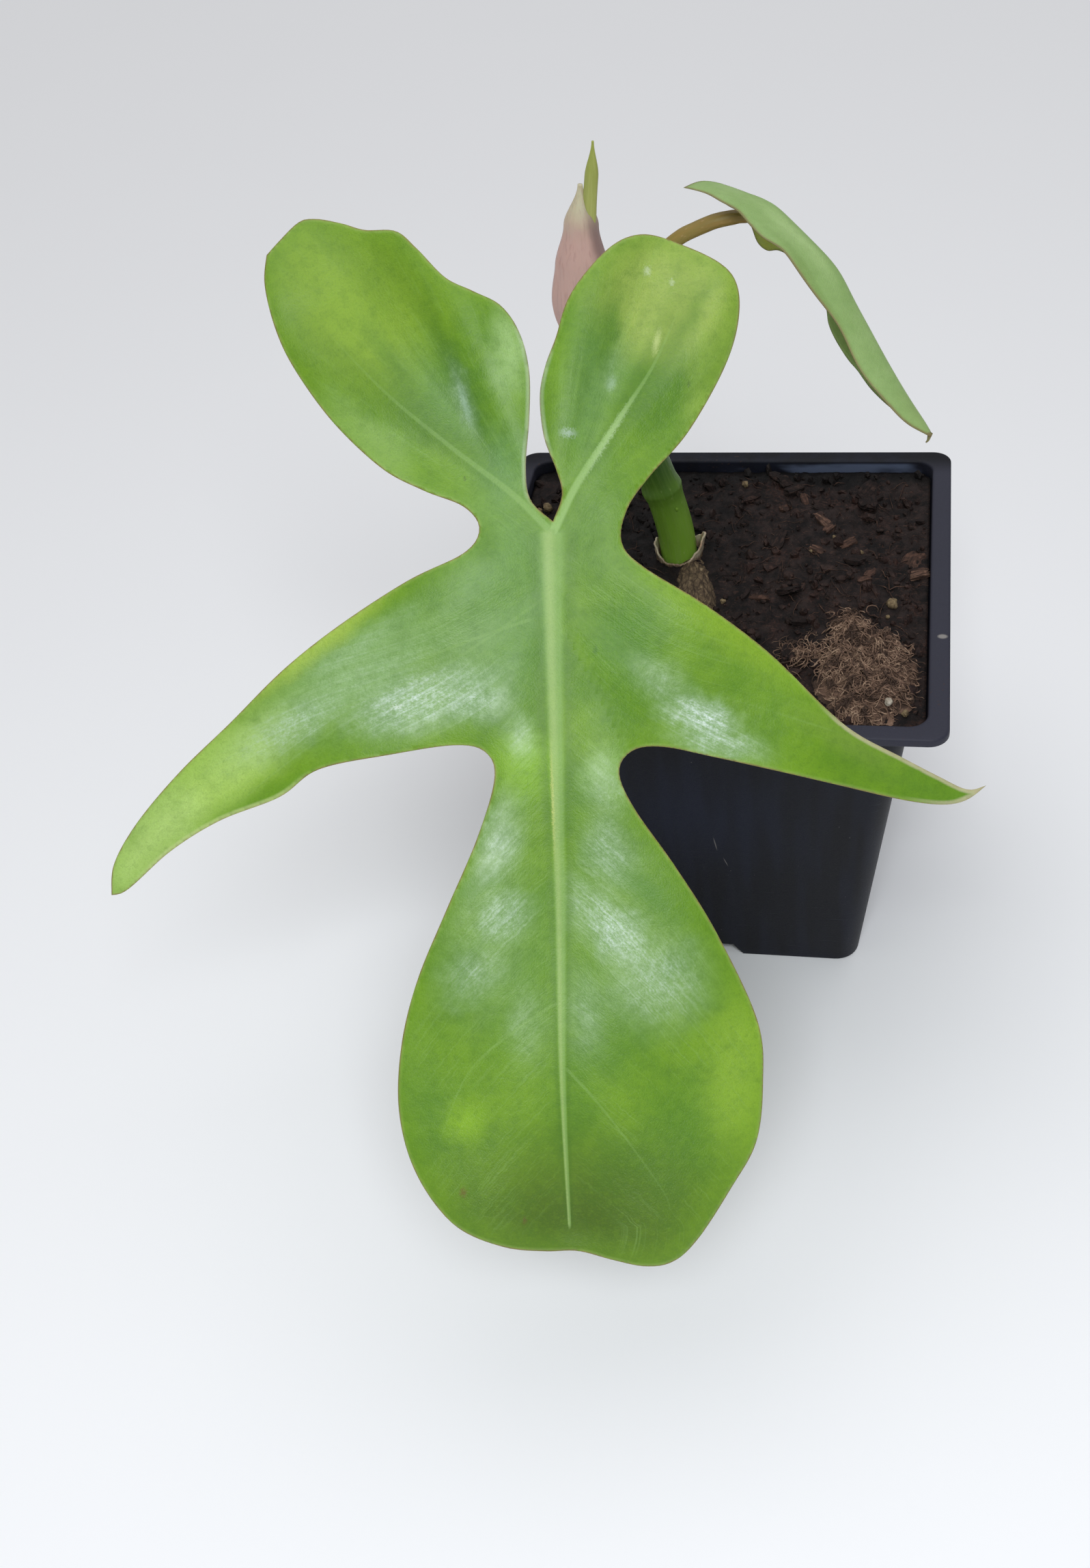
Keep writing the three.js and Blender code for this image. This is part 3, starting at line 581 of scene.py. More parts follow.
@dataclass(frozen=True)
class BladeSkin:
    """Skin of a leaf blade, with ribs, fine side veins, mottling, a thin margin, and painted sheen, glints
    and shade.
    """

    name: str
    base: Shade
    fresh: Shade
    deep: Shade
    under: Shade
    rib: Shade
    margin: Shade
    edge: Shade
    ribs: int
    patches: tuple[Patch, ...] = ()
    # Specks of the blade's own, and pale painted glints of light.
    specks_and_glints: tuple[Patch, ...] = ()
    shines: tuple[Shine, ...] = ()
    hems: tuple[Patch, ...] = ()
    mottle: float = 14.0
    rough: float = 0.4
    depth: float = 0.07
    lobes: Pair = (3.0, 14.0)
    fanned: float = 1.0
    # Strength of the painted shade in the basal lobes' folds.
    pleats: float = 0.35
    # The painted highlight along the midrib's crest.
    crest: Shade = (198, 216, 140)
    gloss: Shade = (164, 196, 152)
    shine: Shade = (222, 236, 228)
    warp: float = 4.0

    def material(self) -> Material:
        """Builds the skin: first its tissue with painted shade in its folds, then the painted sheen, the
        specks and painted glints, the ribs with painted shade and a painted highlight by the midrib, and the
        margin.

        Returns:
            The material.
        """
        paint = Paint(self.name, self.base)
        leaf, vein, fan = (paint.attribute(name) for name in ("leaf", "vein", "fan"))
        x, y, rim = paint.parts(leaf)
        _, _, calm = paint.parts(vein)
        _, reach, below = paint.parts(fan)
        plane = paint.scaled(leaf, (1.0, 1.0, 0.0))
        wander = paint.grain(6.0, plane)
        cloud = paint.grain(self.mottle, plane, 3.0, 0.55)
        blotch = paint.grain(self.mottle * 0.3, plane, 4.0, 0.62)
        tissue = paint.cells(0.34, leaf)
        dust = paint.grain(0.2, leaf, 2.0, 0.7)
        lobes = y.ease(*self.lobes) * self.fanned
        side = paint.grain(1.0, paint.scaled(vein, (1.9, 0.07, 0.0)), 3.0, 0.65)
        radial = paint.grain(1.0, paint.scaled(fan, (2.4, 0.05, 0.0)), 3.0, 0.65)
        pleat_shade = paint.grain(1.0, paint.scaled(fan, (0.42, 0.025, 0.0))).ease(0.38, 0.62)
        streak = side + (radial - side) * lobes
        stripe = self.stripe(paint)
        paint.lay(cloud.ease(0.36, 0.66), self.fresh)
        paint.lay(below, self.under)
        drift = (x + (wander - 0.5) * self.warp, y + (blotch - 0.5) * self.warp)
        for patch in self.patches:
            facing = below if patch.under else 1.0 - below * 0.85
            paint.lay(patch.share(paint, drift) * facing, patch.shade)
        # Painted shade in the folds of the basal lobes.
        paint.lay(pleat_shade * lobes * self.pleats * reach.ease(4.0, 14.0), self.deep)
        paint.lay(blotch.ease(0.46, 0.78) * 0.3 + dust.ease(0.5, 0.3) * 0.15, self.deep)
        veined = streak.ease(0.5, 0.68) * cloud.ease(0.36, 0.6) * 0.24 + dust.ease(0.52, 0.7) * 0.1
        paint.lay(veined * calm, self.rib)
        paint.lay(rim.ease(5.0, 0.5) * 0.3, self.fresh)
        drift = (x + wander * 3.0 - 1.5 + blotch * 3.0 - 1.5, y + blotch * 4.0 - 2.0)
        glow = x * 0.0
        for patch in self.shines:
            glow = glow.most(patch.share(paint, drift))
        lumps = paint.grain(1.5, plane, 4.0, 0.65).ease(0.3, 0.7)
        grit = paint.grain(0.42, leaf, 2.0, 0.7)
        fine = glow * glow * (0.35 + lumps * 0.65) * (1.0 - below)
        fine = fine * (streak.ease(0.4, 0.68) * 0.6 + grit.ease(0.42, 0.66) * 0.5)
        glow = glow * (0.6 + lumps * 0.4) * (1.0 - below * 0.9)
        paint.lay(lumps.ease(0.6, 0.0) * 0.15 + grit.ease(0.5, 0.34) * 0.15, self.deep)
        paint.lay(lumps.ease(0.5, 1.0) * 0.14 + grit.ease(0.52, 0.68) * 0.16, self.fresh)
        paint.lay(glow * 0.62 * (1.0 - stripe * 0.5), self.gloss)
        paint.lay(fine * (1.0 - stripe * 0.6), self.shine)
        # Specks of the blade's own, and painted glints of light.
        for speck in self.specks_and_glints:
            paint.lay(speck.share(paint, (x + dust - 0.5, y + tissue - 0.5)), speck.shade)
        paint.lay(stripe * (0.55 + dust * 0.4), self.rib)
        # Painted shade in the troughs beside the midrib, and a painted highlight along its crest.
        across, strength, _ = paint.parts(paint.attribute("rib0"))
        rib_side_shade = abs(across).ease(0.9, 1.4) * abs(across).ease(2.8, 1.4) * strength
        crest = abs(across + 0.3).ease(0.8, 0.0) * strength * (0.4 + grit)
        paint.lay(rib_side_shade * 0.4 * (1.0 - below), self.deep)
        paint.lay(crest * 0.36 * (1.0 - below), self.crest)
        paint.lay(rim.ease(0.7, 0.15) * 0.35, self.margin)
        paint.lay(rim.ease(0.3, 0.05) * 0.75, self.edge)
        for hem in self.hems:
            paint.lay(hem.share(paint, (x, y)) * rim.ease(0.8, 0.4), hem.shade)
        rough = self.rough + dust * 0.12 + blotch * 0.12 - streak * calm * 0.08 - glow * 0.1 + below * 0.15
        relief = dust * 0.4 + tissue * 0.3 + streak * 0.8 * calm + lumps * 0.35 + blotch * 0.5
        return paint.dress(rough, relief, self.depth, coat=glow * 0.5, Coat_Roughness=0.28,
                           Specular_IOR_Level=0.5, Subsurface_Weight=0.06, Subsurface_Scale=0.0012,
                           Subsurface_Radius=(0.6, 1.0, 0.2))

    def stripe(self, paint: Paint) -> Field:
        """Finds where a rib shows.

        Args:
            paint: The skin's paint.

        Returns:
            1 on a strong rib and 0 beside it.
        """
        shown = []
        for k in range(self.ribs):
            across, strength, _ = paint.parts(paint.attribute(f"rib{k}"))
            shown.append(abs(across).ease(1.15, 0.5) * strength)
        return reduce(Field.most, shown)


@dataclass(frozen=True)
class CataphyllSkin:
    """Fleshy cataphyll: cream-green foot, pink middle, cream top and purple-brown right edge."""

    low: Shade = (172, 176, 128)
    middle: Shade = (200, 164, 153)
    top: Shade = (200, 192, 160)
    edge: Shade = (98, 74, 76)
    line: Shade = (150, 104, 100)

    def material(self) -> Material:
        """Builds the skin.

        Returns:
            The material.
        """
        paint = Paint("cataphyll skin", self.low)
        x, _, z = paint.parts(paint.place)
        lines = paint.grain(0.5, paint.scaled(paint.place, (1.0, 1.0, 0.06)), 3.0)
        cloud = paint.grain(3.0)
        paint.lay((z + cloud * 6.0).ease(116.0, 124.0), self.middle)
        paint.lay((z + cloud * 4.0).ease(139.5, 147.0), self.top)
        right = (x + (z - 125.0) * 0.17 + cloud).ease(-16.9, -15.4) * z.ease(146.0, 139.0)
        paint.lay(right * 0.6, self.edge)
        paint.lay(lines.ease(0.5, 0.72) * 0.28, self.line)
        return paint.dress(0.42 + cloud * 0.12, lines + cloud * 0.3, 0.09, Subsurface_Weight=0.2,
                           Subsurface_Scale=0.002, Subsurface_Radius=(1.0, 0.6, 0.4))


@dataclass(frozen=True)
class PaleFloor:
    """Plain matt floor."""

    shade: Shade = (250, 250, 251)
    cloud: Shade = (244, 244, 246)

    def material(self) -> Material:
        """Builds the floor's paint.

        Returns:
            The material.
        """
        paint = Paint("pale floor", self.shade)
        paint.lay(paint.grain(60.0) * 0.15, self.cloud)
        return paint.dress(0.9, Specular_IOR_Level=0.1)


# Shapes


def smooth_line(points: Points, step: float, power: float = 0.5) -> Array:
    """Runs a smooth curve through points.

    Args:
        points: The points, in two or three dimensions.
        step: Distance between the points that are returned, roughly.
        power: 0.5 for a stem's line, which ends straight, and 0 for a stretch of an outline.

    Returns:
        Points at equal steps along the curve, one to a row.
    """
    known = np.asarray(points, float)
    ends = (2 * known[0] - known[1], 2 * known[-1] - known[-2]) if power else (known[0], known[-1])
    padded = np.vstack([ends[0], known, ends[1]])
    share = np.linspace(0, 1, 24, endpoint=False)[:, None]
    stretches = []
    for a, b, c, d in zip(padded, padded[1:], padded[2:], padded[3:]):
        before, here, after = (max(np.linalg.norm(q - p), 1e-6) ** power for p, q in ((a, b), (b, c), (c, d)))
        start = ((b - a) / before - (c - a) / (before + here) + (c - b) / here) * here
        end = ((c - b) / here - (d - b) / (here + after) + (d - c) / after) * here
        square = -3 * b + 3 * c - 2 * start - end
        cube = 2 * b - 2 * c + start + end
        stretches.append(b + start * share + square * share**2 + cube * share**3)
    dense = np.vstack([*stretches, known[-1:]])
    reach = np.concatenate([[0], np.cumsum(np.linalg.norm(np.diff(dense, axis=0), axis=1))])
    wanted = np.linspace(0, reach[-1], max(2, round(reach[-1] / step)) + 1)
    return np.column_stack([np.interp(wanted, reach, column) for column in dense.T])


def directions(line: Array) -> Axes:
    """Finds axes that follow a line without twisting.

    Args:
        line: Points of the line, one to a row.

    Returns:
        The line's direction and two directions square to it, at each point.
    """
    ahead = np.gradient(line, axis=0)
    ahead /= np.linalg.norm(ahead, axis=1, keepdims=True)
    start = np.cross(ahead[0], (0.0, 0.0, 1.0) if abs(ahead[0][2]) < 0.9 else (0.0, 1.0, 0.0))
    across = [start / np.linalg.norm(start)]
    for way in ahead[1:]:
        turned = across[-1] - way * (across[-1] @ way)
        across.append(turned / np.linalg.norm(turned))
    across = np.array(across)
    return ahead, across, np.cross(ahead, across)


def tube(line: Array, reach: Reach, sides: int, axes: Axes | None = None) -> Mesh:
    """Wraps a grid round a line.

    Args:
        line: Points of the line, one to a row.
        reach: The radius at a share of the length from 0 to 1 and a turn in radians.
        sides: Faces round the tube.
        axes: The directions along the line, worked out if left out.

    Returns:
        The closed tube, with the vector "skin" at each vertex: its place round the tube and along it.
    """
    _, across, beside = axes or directions(line)
    length = np.linalg.norm(np.diff(line, axis=0), axis=1).sum()
    bm = bmesh.new()
    skin = bm.verts.layers.float_vector.new("skin")
    bmesh.ops.create_grid(bm, x_segments=sides, y_segments=len(line) - 1, size=1.0)
    for vert in bm.verts:
        share = (vert.co.y + 1) / 2
        row = round(share * (len(line) - 1))
        turn = (vert.co.x + 1) * math.pi
        radius = reach(share, turn)
        vert[skin] = (radius * math.cos(turn), radius * math.sin(turn), share * length)
        vert.co = Vector(line[row] + radius * (across[row] * math.cos(turn) + beside[row] * math.sin(turn)))
    bmesh.ops.remove_doubles(bm, verts=bm.verts, dist=MERGE)
    bmesh.ops.holes_fill(bm, edges=[edge for edge in bm.edges if edge.is_boundary])
    outward(bm)
    return bm


def outward(bm: Mesh) -> None:
    """Points all faces outwards."""
    bmesh.ops.recalc_face_normals(bm, faces=bm.faces)


def made_parts(made: dict, kind: type) -> list:
    """The parts of one kind that an operator has made."""
    return [item for item in made["geom"] if isinstance(item, kind)]


def taken_in(bm: Mesh, other: Mesh) -> None:
    """Adds another mesh to this one and frees it.

    Args:
        bm: The mesh that takes it in.
        other: The mesh that is added.
    """
    holder = bpy.data.meshes.new("holder")
    other.to_mesh(holder)
    other.free()
    bm.from_mesh(holder)
    bpy.data.meshes.remove(holder)


def rough_noise(place: Vector, size: float, octaves: int = 3) -> float:
    """Noise from about -1 to 1 with features of a size in millimetres."""
    return noise.fractal(place / size, 1.0, 2.0, octaves)


def lumpy_grain(bm: Mesh, place: Matrix, radius: float, fine: int, lumps: tuple[float, float, int]) -> None:
    """Adds a grain to a mesh.

    Args:
        bm: The mesh.
        place: Where the grain lies, how it is turned and how far it is stretched.
        radius: Its radius before the stretch.
        fine: How often a ball of 20 faces is divided, counting the ball itself as 1.
        lumps: Height of its lumps as a share of the radius, their size and how many finer ones they bear.
    """
    height, size, octaves = lumps
    for vert in bmesh.ops.create_icosphere(bm, subdivisions=fine, radius=radius, matrix=place)["verts"]:
        vert.co += (vert.co - place.translation) * height * rough_noise(vert.co, size, octaves)


def eased(value: float, low: float, high: float) -> float:
    """Runs smoothly from 0 at low to 1 at high."""
    share = min(1.0, max(0.0, (value - low) / (high - low)))
    return share * share * (3 - 2 * share)


def bell(value: float, middle: float, width: float) -> float:
    """A bell curve that is 1 in its middle."""
    return math.exp(-(((value - middle) / width) ** 2))


def read_off(values: Sequence[float], share: float) -> float:
    """Reads smoothly between values at equal steps, at a share of the way from the first to the last."""
    k, part = divmod(min(share, 0.999999) * (len(values) - 1), 1)
    return values[int(k)] + (values[int(k) + 1] - values[int(k)]) * eased(part, 0.0, 1.0)


def put(name: str, data: Any) -> bpy.types.Object:
    """Puts an object into the scene.

    Args:
        name: The object's name.
        data: Its mesh, curve, light or camera.

    Returns:
        The object.
    """
    item = bpy.data.objects.new(name, data)
    bpy.context.scene.collection.objects.link(item)
    return item


def as_mesh(bm: Mesh, name: str) -> bpy.types.Mesh:
    """Turns a mesh in millimetres into a mesh block in metres.

    Args:
        bm: The mesh. It is freed.
        name: The block's name.

    Returns:
        The block.
    """
    bmesh.ops.scale(bm, vec=(MM, MM, MM), verts=bm.verts)
    mesh = bpy.data.meshes.new(name)
    bm.to_mesh(mesh)
    bm.free()
    return mesh


def evaluated(item: bpy.types.Object) -> bpy.types.Mesh:
    """The mesh that an object's curve or modifiers give."""
    bpy.context.view_layer.update()
    return bpy.data.meshes.new_from_object(item.evaluated_get(bpy.context.evaluated_depsgraph_get()))


@dataclass
class Piece:
    """A finished mesh and what it stands for."""

    name: str
    slot: Slot
    finish: Any
    replaces: tuple[str, ...] = ()
    sharp: float | None = None

    def place(self, bm: Mesh) -> bpy.types.Object:
        """Turns a mesh in millimetres into a piece on the frame.

        Args:
            bm: The mesh. It is freed.

        Returns:
            The piece.
        """
        mesh = as_mesh(bm, self.name)
        mesh.shade_smooth()
        if self.sharp is not None:
            mesh.set_sharp_from_angle(angle=math.radians(self.sharp))
        mesh.materials.append(self.finish.material())
        piece = put(self.name, mesh)
        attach(piece, BODY)
        if self.replaces:
            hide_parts(*self.replaces)
        mesh.calc_loop_triangles()
        LOG.info("%s: %d triangles", self.name, len(mesh.loop_triangles))
        return piece


class Draws:
    """A repeatable stream of numbers from 0 to 1, which the frame's lumps, chips and roots come from."""

    def __init__(self, seed: int) -> None:
        """Starts the stream."""
        self.state = seed

    def __call__(self) -> float:
        """Draws the next number.

        Returns:
            The number.
        """
        mask = 0xFFFFFFFF
        self.state = (self.state + 0x6D2B79F5) & mask
        t = ((self.state ^ (self.state >> 15)) * (1 | self.state)) & mask
        t = ((t + (((t ^ (t >> 7)) * (61 | t)) & mask)) & mask) ^ t
        return (t ^ (t >> 14)) / (mask + 1)


# Pot


@dataclass(frozen=True)
class Station:
    """A corner of the pot's section: half width, height, corner radius in plan and radius in section."""

    half: float
    z: float
    corner: float
    fillet: float = 0.0


@dataclass
class NurseryPot:
    """Square nursery pot with a flat rim, a shoulder under it and a drained foot."""

    rim: float = 90.0
    height: float = 74.0
    lip: float = 3.7
    lip_edge: float = 1.7
    collar: float = 3.0
    shoulder: float = 4.2
    wall: float = 1.0
    base: float = 60.0
    floor: float = 4.6
    recess: float = 3.4
    channel: float = 14.0
    channel_roof: float = 9.5
    channel_flare: float = 0.3
    ring: float = 10.4
    pad: float = 6.0
    pocket: float = 1.2
    rim_corner: float = 3.5
    body_corner: float = 4.5
    floor_edge: float = 2.0
    drain_hole: float = 3.0
    drain_distance: float = 20.0
    overcut: float = 1.0
    sharp: float = 40.0

    @property
    def lip_half(self) -> float:
        """Half width inside the rim."""
        return self.rim / 2 - self.lip

    @property
    def inner_corner(self) -> float:
        """Corner radius inside."""
        return self.body_corner - self.wall

    @property
    def inner_shoulder(self) -> Pair:
        """Half width and height of the shoulder's foot, inside."""
        return self.lip_half - self.shoulder, self.height - self.collar - self.shoulder

    @property
    def outer_shoulder(self) -> Pair:
        """Half width and height of the shoulder's foot, outside."""
        half, z = self.inner_shoulder
        return half + self.wall, z - 0.5 * self.wall

    def inner_half(self, z: float) -> float:
        """Half width inside the tapering wall at a height."""
        half, top = self.outer_shoulder
        return self.base / 2 + (half - self.base / 2) * z / top - self.wall

    def stations(self) -> list[Station]:
        """Lists the corners of the section.

        Returns:
            The corners, from the outside of the base over the rim to the floor.
        """
        body, rim, inner, edge = self.body_corner, self.rim_corner, self.inner_corner, self.floor_edge
        base, top, floor_half = self.base / 2, self.height, self.inner_half(self.floor)
        collar = self.lip_half + self.wall
        shoulder, shoulder_z = self.outer_shoulder
        inside, inside_z = self.inner_shoulder
        foot = top - self.lip_edge
        return [
            Station(base - edge, 0.0, body - edge),
            Station(base, 0.0, body, 0.6),
            Station(shoulder, shoulder_z, body, 1.6),
            Station(collar, shoulder_z + self.shoulder, body, 1.2),
            Station(collar, foot, body, 0.35),
            Station(self.rim / 2, foot, rim, 0.3),
            Station(self.rim / 2, top, rim, 0.55),
            Station(self.lip_half, top, inner, 0.6),
            Station(self.lip_half, top - self.collar, inner, 0.5),
            Station(inside, inside_z, inner, 0.8),
            Station(floor_half, self.floor, inner, 0.6),
            Station(floor_half - edge, self.floor, inner - edge),
        ]

    def section(self) -> list[Station]:
        """Rounds the corners of the section to their radius.

        Returns:
            The rounded section, with five stations for each corner between its ends.
        """
        stations = self.stations()
        rounded = [stations[0]]
        for before, here, after in zip(stations, stations[1:], stations[2:]):
            corner = Vector((here.half, here.z))
            ways = [Vector((s.half, s.z)) - corner for s in (before, after)]
            opening = ways[0].angle(ways[1])
            cut = min(here.fillet / math.tan(opening / 2), 0.45 * ways[0].length, 0.45 * ways[1].length)
            start, end = (corner + way.normalized() * cut for way in ways)
            for share in (0.0, 0.25, 0.5, 0.75, 1.0):
                point = start.lerp(corner, share).lerp(corner.lerp(end, share), share)
                rounded.append(Station(point.x, point.y, here.corner))
        rounded.append(stations[-1])
        return rounded

    def shell(self) -> Mesh:
        """Lofts the shell through rings of a square with round corners.

        Returns:
            The shell with a plain base.
        """
        first, *others = self.section()
        bm = bmesh.new()
        corners = [(1, 1), (-1, 1), (-1, -1), (1, -1)]
        square = bm.faces.new([bm.verts.new((x * first.half, y * first.half, first.z)) for x, y in corners])
        bmesh.ops.bevel(bm, geom=list(square.verts), offset=first.corner, segments=9, profile=0.5,
                        affect="VERTICES", material=-1)
        edges = list(bm.edges)
        ways = {}
        for vert in bm.verts:
            sign = Vector((math.copysign(1, vert.co.x), math.copysign(1, vert.co.y), 0))
            ways[vert] = sign, (vert.co - sign * (first.half - first.corner)).to_2d().normalized()
        for station in others:
            made = bmesh.ops.extrude_edge_only(bm, edges=edges)
            near = {vert.co.to_tuple(6): way for vert, way in ways.items()}
            ways = {vert: near[vert.co.to_tuple(6)] for vert in made_parts(made, bmesh.types.BMVert)}
            for vert, (sign, way) in ways.items():
                centre = sign * (station.half - station.corner)
                vert.co = (centre.x + station.corner * way.x, centre.y + station.corner * way.y, station.z)
            edges = made_parts(made, bmesh.types.BMEdge)
        bmesh.ops.contextual_create(bm, geom=edges)
        outward(bm)
        return bm

    def channels(self) -> Mesh:
        """Makes the cutter of the channel's four arms and of the pockets in the feet.

        Returns:
            The cutter.
        """
        bm = bmesh.new()
        low = self.channel / 2 + self.pocket
        high = self.inner_half(0.0) - 1.0
        roof = self.floor + 0.5
        mouth = self.channel * (1 + self.channel_flare / self.recess)
        for quarter in range(4):
            turn = Matrix.Rotation(quarter * math.pi / 2, 4, "Z")
            for vert in bmesh.ops.create_cube(bm, size=1.0)["verts"]:
                upper = vert.co.z > 0
                reach = 0.5 * (self.pad + self.ring) if vert.co.x < 0 else self.base
                width = self.channel_roof if upper else mouth
                vert.co = turn @ Vector((reach, vert.co.y * width, self.recess if upper else -self.overcut))
            pocket = bmesh.ops.create_cube(bm, size=1.0)["verts"]
            bmesh.ops.scale(bm, vec=(high - low, high - low, roof - self.pocket), verts=pocket)
            middle = Vector(((low + high) / 2, (low + high) / 2, (roof + self.pocket) / 2))
            bmesh.ops.translate(bm, vec=middle, verts=pocket)
            bmesh.ops.transform(bm, matrix=turn, verts=pocket)
        return bm

    def ring_channel(self) -> Mesh:
        """Makes the cutter of the ring round the foot in the middle.

        Returns:
            The cutter.
        """
        bm = bmesh.new()
        low, high = -self.overcut, self.recess
        places = ((self.pad, low), (self.ring, low), (self.ring, high), (self.pad, high))
        section = [bm.verts.new((x, 0, z)) for x, z in places]
        loop = [bm.edges.new((section[k], section[(k + 1) % 4])) for k in range(4)]
        bmesh.ops.spin(bm, geom=section + loop, cent=(0, 0, 0), axis=(0, 0, 1), angle=2 * math.pi, steps=48,
                       use_merge=True)
        return bm

    def drains(self) -> Mesh:
        """Makes the cutter of the four drain holes.

        Returns:
            The cutter.
        """
        bm = bmesh.new()
        out = Matrix.Translation((self.drain_distance, 0, self.floor))
        for quarter in range(4):
            turn = Matrix.Rotation(quarter * math.pi / 2, 4, "Z")
            bmesh.ops.create_cone(bm, cap_ends=True, segments=32, radius1=self.drain_hole,
                                  radius2=self.drain_hole, depth=6.0, matrix=turn @ out)
        return bm

    def build(self) -> None:
        """Makes the pot and replaces its CAD node."""
        piece = Piece("nursery_pot", Slot.POT, PotPlastic(), ("pot",), self.sharp).place(self.shell())
        for bm in (self.channels(), self.ring_channel(), self.drains()):
            outward(bm)
            cutter = put("cutter", as_mesh(bm, "cutter"))
            boolean = piece.modifiers.new("cut", "BOOLEAN")
            boolean.operation = "DIFFERENCE"
            boolean.solver = "EXACT"
            boolean.object = cutter
            whole = piece.data
            piece.data = evaluated(piece)
            piece.modifiers.clear()
            bpy.data.meshes.remove(whole)
            bpy.data.objects.remove(cutter)
        piece.data.name = piece.name
        piece.data.set_sharp_from_angle(angle=math.radians(self.sharp))


# Potting mix


@dataclass
class Tuft:
    """Flat stretch of the mix that the coconut fibre lies on."""

    x: float = 30.6
    y: float = -25.4
    half_x: float = 8.9
    half_y: float = 13.6
    height: float = 3.0

    def distance(self, x: float, y: float) -> float:
        """Distance from its middle, 1 at its border."""
        return math.hypot((x - self.x) / self.half_x, (y - self.y) / self.half_y)


@dataclass(frozen=True)
class Scatter:
    """Seeded places on the mix: how many they are, their seed and how far they keep from the rim's inside."""

    count: int
    seed: int
    wall: float


